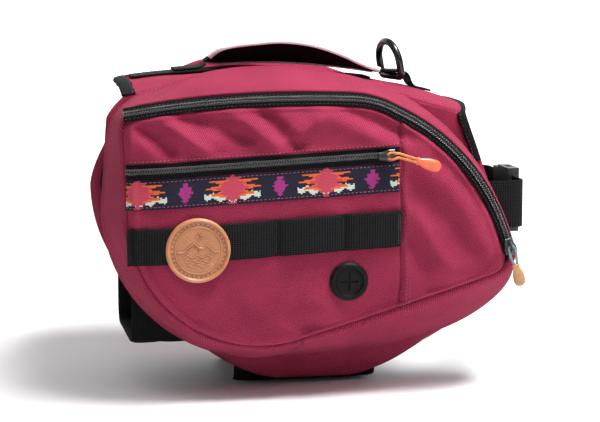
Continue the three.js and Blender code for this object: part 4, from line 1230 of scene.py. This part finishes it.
def tabs():
    rear = [(-90, 3.2), (-78, 3.2), (-71, 3.6), (-66.5, 5.6)]
    path = smooth_path([[x, 0, float(saddle_top(x)) + lift] for x, lift in rear], 40)
    sweep_piece("handle_tab_rear", path, (0, -1, 0), strap_section(12, 1.6), "webbing", "pack",
                ("handle_rear_tab",))
    over = RING_BAR_Z + 4.0
    front = [(108, float(saddle_top(108)) + 1.2), (95, float(saddle_top(95)) + 1.2), (90.5, over - 3),
             (86.5, over - 0.3), (RING_X, over), (71.5, over + 0.5)]
    path = smooth_path([[x, 0, z] for x, z in front], 60)
    sweep_piece("handle_tab_front", path, (0, 1, 0), strap_section(11.5, 1.6), "webbing", "pack",
                ("handle_front_tab",))
    line = np.array([[97, y, float(saddle_top(97)) + 2.3] for y in np.linspace(-10, 10, 12)])
    stitches("handle_tab_tack_front", line, (0, 0, 1), "black_thread", "pack", pitch=1.6,
             length=1.4)


def leash_ring():
    half, corner, leg = 16.0, 4.0, 11.0

    def arc(cx, cz, r, start, end, count):
        turns = np.radians(np.linspace(start, end, count, endpoint=False))
        return [(cx + r * math.cos(t), cz + r * math.sin(t)) for t in turns]

    loop = [(v, 0.0) for v in np.linspace(-half + corner, half - corner, 14, endpoint=False)]
    loop += arc(half - corner, corner, corner, -90, 0, 8)
    loop += [(half, z) for z in np.linspace(corner, leg, 6, endpoint=False)]
    loop += arc(0, leg, half, 0, 180, 48)
    loop += [(-half, z) for z in np.linspace(leg, corner, 6, endpoint=False)]
    loop += arc(-half + corner, corner, corner, 180, 270, 8)
    loop = np.array(loop)
    lean, turn = math.radians(11), math.radians(15)
    x, y, z = -loop[:, 1] * math.sin(lean), loop[:, 0], loop[:, 1] * math.cos(lean)
    xr, yr = x * math.cos(turn) - y * math.sin(turn), x * math.sin(turn) + y * math.cos(turn)
    path = np.stack([RING_X + xr, yr, RING_BAR_Z + z], 1)
    side = np.array([math.cos(lean) * math.cos(turn), math.cos(lean) * math.sin(turn), math.sin(lean)])
    sweep_piece("leash_ring_wire", path, side, wire_section(2.8, 24), "steel", "ring",
                ("leash_ring",), closed=True)


# ---------- Straps and pads ----------

CHEST_X, CHEST_Z, CHEST_HALF = 172.0, 130.0, 18.0
CHEST_ROOT = SADDLE_HALF - 2.4 - 0.7 - 0.8  # where the chest straps lie inside the side panels
BELLY_X, BELLY_Z = 2.0, 9.0


def chest_strap(name, side, end_y):
    corners = [(126, -CHEST_ROOT, CHEST_Z), (CHEST_X, -CHEST_ROOT, CHEST_Z), (CHEST_X, end_y, CHEST_Z)]
    path = rounded_path(corners, 13, 90)
    path[:, 2] += 1.2 * np.sin(np.linspace(0, math.pi, 90))
    strap = sweep_piece(name + "_chest_strap", path, (0, 0, 1), strap_section(CHEST_HALF, 1.6), "webbing",
                        "pack" if side > 0 else None, (name + "_chest_webbing",),
                        mirror=side)
    if side < 0:
        place([CHEST_X, -46, CHEST_Z], side)
        place([CHEST_X, -14, CHEST_Z], side)
        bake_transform(strap)


def belly_strap(name, side, end_y):
    root = 48.2 - 2 - 0.4 - 0.8
    corners = [(BELLY_X, -root, 34), (BELLY_X, -root, BELLY_Z), (BELLY_X, end_y, BELLY_Z)]
    path = rounded_path(corners, 7, 70)
    strap = sweep_piece(name + "_belly_strap", path, (1, 0, 0), strap_section(12.5, 1.6), "webbing",
                        "pack" if side > 0 else None, (name + "_belly_webbing",),
                        mirror=side)
    if side < 0:
        place([BELLY_X, -42, BELLY_Z], side)
        place([BELLY_X, -12, BELLY_Z], side)
        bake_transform(strap)


def padded_band(name, path, half, thick, channels, replaces, side=1.0):
    """A quilted pad that follows a path, crowned between its stitched channels."""
    steps = np.linspace(-1, 1, 41)
    along = unit(np.gradient(path, axis=0))
    out = unit(np.cross(along, (1.0, 0.0, 0.0)))
    lengths = arc_lengths(path)
    ends = np.clip(np.minimum(lengths, lengths[-1] - lengths) / 5, 0, 1) ** 0.5
    quilt = 0.55 + 0.45 * np.abs(np.cos(steps * math.pi * channels / 2)) ** 0.5
    crown = np.clip((1 - np.abs(steps)) / 0.12, 0, 1) ** 0.5 * quilt
    middle = path[:, None] + np.array([1.0, 0, 0]) * (half[:, None] * steps)[..., None]
    grow = (thick / 2 * (0.25 + 0.75 * ends[:, None] * crown[None]))[..., None]
    upper, lower = middle + out[:, None] * grow, middle - out[:, None] * grow
    piece = closed_slab(name, upper, lower, "lining", "pack", replaces, side)


def belly_wing(name, side):
    path = rounded_path([(BELLY_X, -48.2, 40), (BELLY_X, -48.2, 2.0), (BELLY_X, -20, 2.0)], 9, 60)
    half = 15 + 39 * np.clip((np.abs(path[:, 1]) - 20) / 22, 0, 1)
    padded_band(name + "_belly_pad", path, half, 3.6, 3, (name + "_belly_wing",), side)


def girth_pad():
    corners = [(0, -48.2, 100), (0, -48.2, 33.5), (0, 48.2, 33.5), (0, 48.2, 100)]
    path = rounded_path(corners, 14, 130)
    path[:, 0] = -95.5
    padded_band("girth_padding", path, np.full(130, 33.0), 4.2, 3, ("girth_pad",))


# ---------- CAD parts carried over: hardware in better materials ----------


def dress(node, look):
    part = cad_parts[node]
    part.data.materials.clear()
    part.data.materials.append(LOOK[look])
    part.data.shade_smooth()
    bevel = modify(part, "BEVEL", width=0.35 * MM, segments=2, limit_method="ANGLE")
    bevel.angle_limit = math.radians(35)
    bevel.harden_normals = True


# ---------- Stage: floor, lights, camera ----------


def stage():
    floor = bpy.data.meshes.new("floor")
    floor.from_pydata([(-5, -4, 0), (5, -4, 0), (5, 6, 0), (-5, 6, 0)], [], [(0, 1, 2, 3)])
    s = Shader("floor_paper", rough=0.6, specular=0.3)
    vector, _, _, _ = s.coords("Object")
    tone = s.ramp(s.noise(vector, 0.004), ((0.3, (0.87, 0.855, 0.875)), (0.7, (0.90, 0.885, 0.905))))
    far = s.node("ShaderNodeVectorMath", operation="LENGTH")
    s.put(far.inputs[0], vector)
    s.put(s.bsdf.inputs["Emission Strength"],
          s.math("MULTIPLY_ADD", far.outputs["Value"], 0.0009, -0.5, clamp=True))
    s.bsdf.inputs["Emission Color"].default_value = (1.0, 1.0, 1.0, 1.0)
    floor.materials.append(s.finish(tone))
    ground = add_object("floor", floor)
    wall = bpy.data.meshes.new("backdrop")
    wall.from_pydata([(-8, 5.9, -0.1), (8, 5.9, -0.1), (8, 5.9, 6), (-8, 5.9, 6)], [], [(0, 1, 2, 3)])
    glow = Shader("backdrop_light", rough=0.9)
    glow.bsdf.inputs["Emission Color"].default_value = (1.0, 1.0, 1.0, 1.0)
    glow.bsdf.inputs["Emission Strength"].default_value = 1.3
    wall.materials.append(glow.finish((0.9, 0.9, 0.9)))
    back = add_object("backdrop", wall)
    # A white surround for the side views. Only the camera sees it, so it doesn't light the pack.
    ring = bpy.data.meshes.new("horizon")
    rim = [(3.9 * math.cos(a), 3.9 * math.sin(a)) for a in np.linspace(0, 2 * math.pi, 48, endpoint=False)]
    ring.from_pydata([(x, y, z) for z in (0.0, 6.0) for x, y in rim], [], grid_faces(2, 48, False, True))
    ring.materials.append(wall.materials[0])
    horizon = add_object("horizon", ring)
    for flag in ("visible_diffuse", "visible_glossy", "visible_transmission", "visible_shadow"):
        setattr(horizon, flag, False)


def area_light(name, position, target, size, power, colour=(1, 1, 1)):
    light = bpy.data.lights.new(name, "AREA")
    light.shape = "RECTANGLE"
    light.size, light.size_y = size
    light.energy = power
    light.color = colour
    lamp = add_object(name, light)
    lamp.location = position
    lamp.rotation_euler = (Vector(target) - Vector(position)).to_track_quat("-Z", "Y").to_euler()


def lights():
    world = bpy.data.worlds.new("studio")
    world.use_nodes = True
    world.node_tree.nodes["Background"].inputs[0].default_value = (1.0, 1.0, 1.0, 1.0)
    world.node_tree.nodes["Background"].inputs[1].default_value = 0.2
    bpy.context.scene.world = world
    area_light("top", (0.40, -0.36, 1.35), (0, -0.08, 0.1), (0.7, 0.4), 36)
    area_light("key", (1.1, -1.6, 1.5), (0, 0, 0.12), (0.6, 0.6), 5)
    area_light("floor_front", (0.0, -1.3, 2.4), (0, -0.7, 0), (1.6, 0.8), 10)


def camera():
    """The photograph's view: low, a little from the tail's side."""
    azimuth, elevation, distance = math.radians(-11.0), math.radians(8.0), 1.5
    back = Vector((math.sin(azimuth) * math.cos(elevation), -math.cos(azimuth) * math.cos(elevation),
                   math.sin(elevation)))
    right = Vector((math.cos(azimuth), math.sin(azimuth), 0.0))
    up = back.cross(right)
    focus = Vector(place([0.0, -60.0, 0.0]))
    across, down = 0.0037, -0.1297  # metres off the focus, to frame the pack as the photograph does
    data = bpy.data.cameras.new("camera")
    data.sensor_width = 36.0
    data.lens = 120.0
    cam = add_object("camera", data)
    cam.location = focus + back * distance - right * across - up * down
    cam.rotation_euler = back.to_track_quat("Z", "Y").to_euler()
    bpy.context.scene.camera = cam


bpy.context.scene.view_settings.view_transform = "Standard"
stage()
lights()
camera()
for side_name, side in SIDES:
    front_panel(side_name, side)
    gusset(side_name, side)
    side_panel(side_name, side)
    side_lining(side_name, side)
    main_zip(side_name, side)
    pocket_zip(side_name, side)
    ribbon(side_name, side)
    gear_webbing(side_name, side)
    upright_seam(side_name, side)
    pulls(side_name, side)
    belly_wing(side_name, side)
    for part in ("pocket_slider", "main_slider"):
        dress(side_name + "_" + part, "enamel")
for strap in (chest_strap, belly_strap):
    strap("right", 1.0, -18.0)  # into the buckle's socket
    strap("left", -1.0, -8.8)  # up to the buckle's plug
badge()
dress("cable_port", "rubber")
saddle_cloth()
spine_pad()
spine_strap()
bindings()
handle()
tabs()
leash_ring()
girth_pad()
for part in ("chest_buckle_socket", "chest_buckle_plug", "belly_buckle_socket", "belly_buckle_plug"):
    dress(part, "plastic")
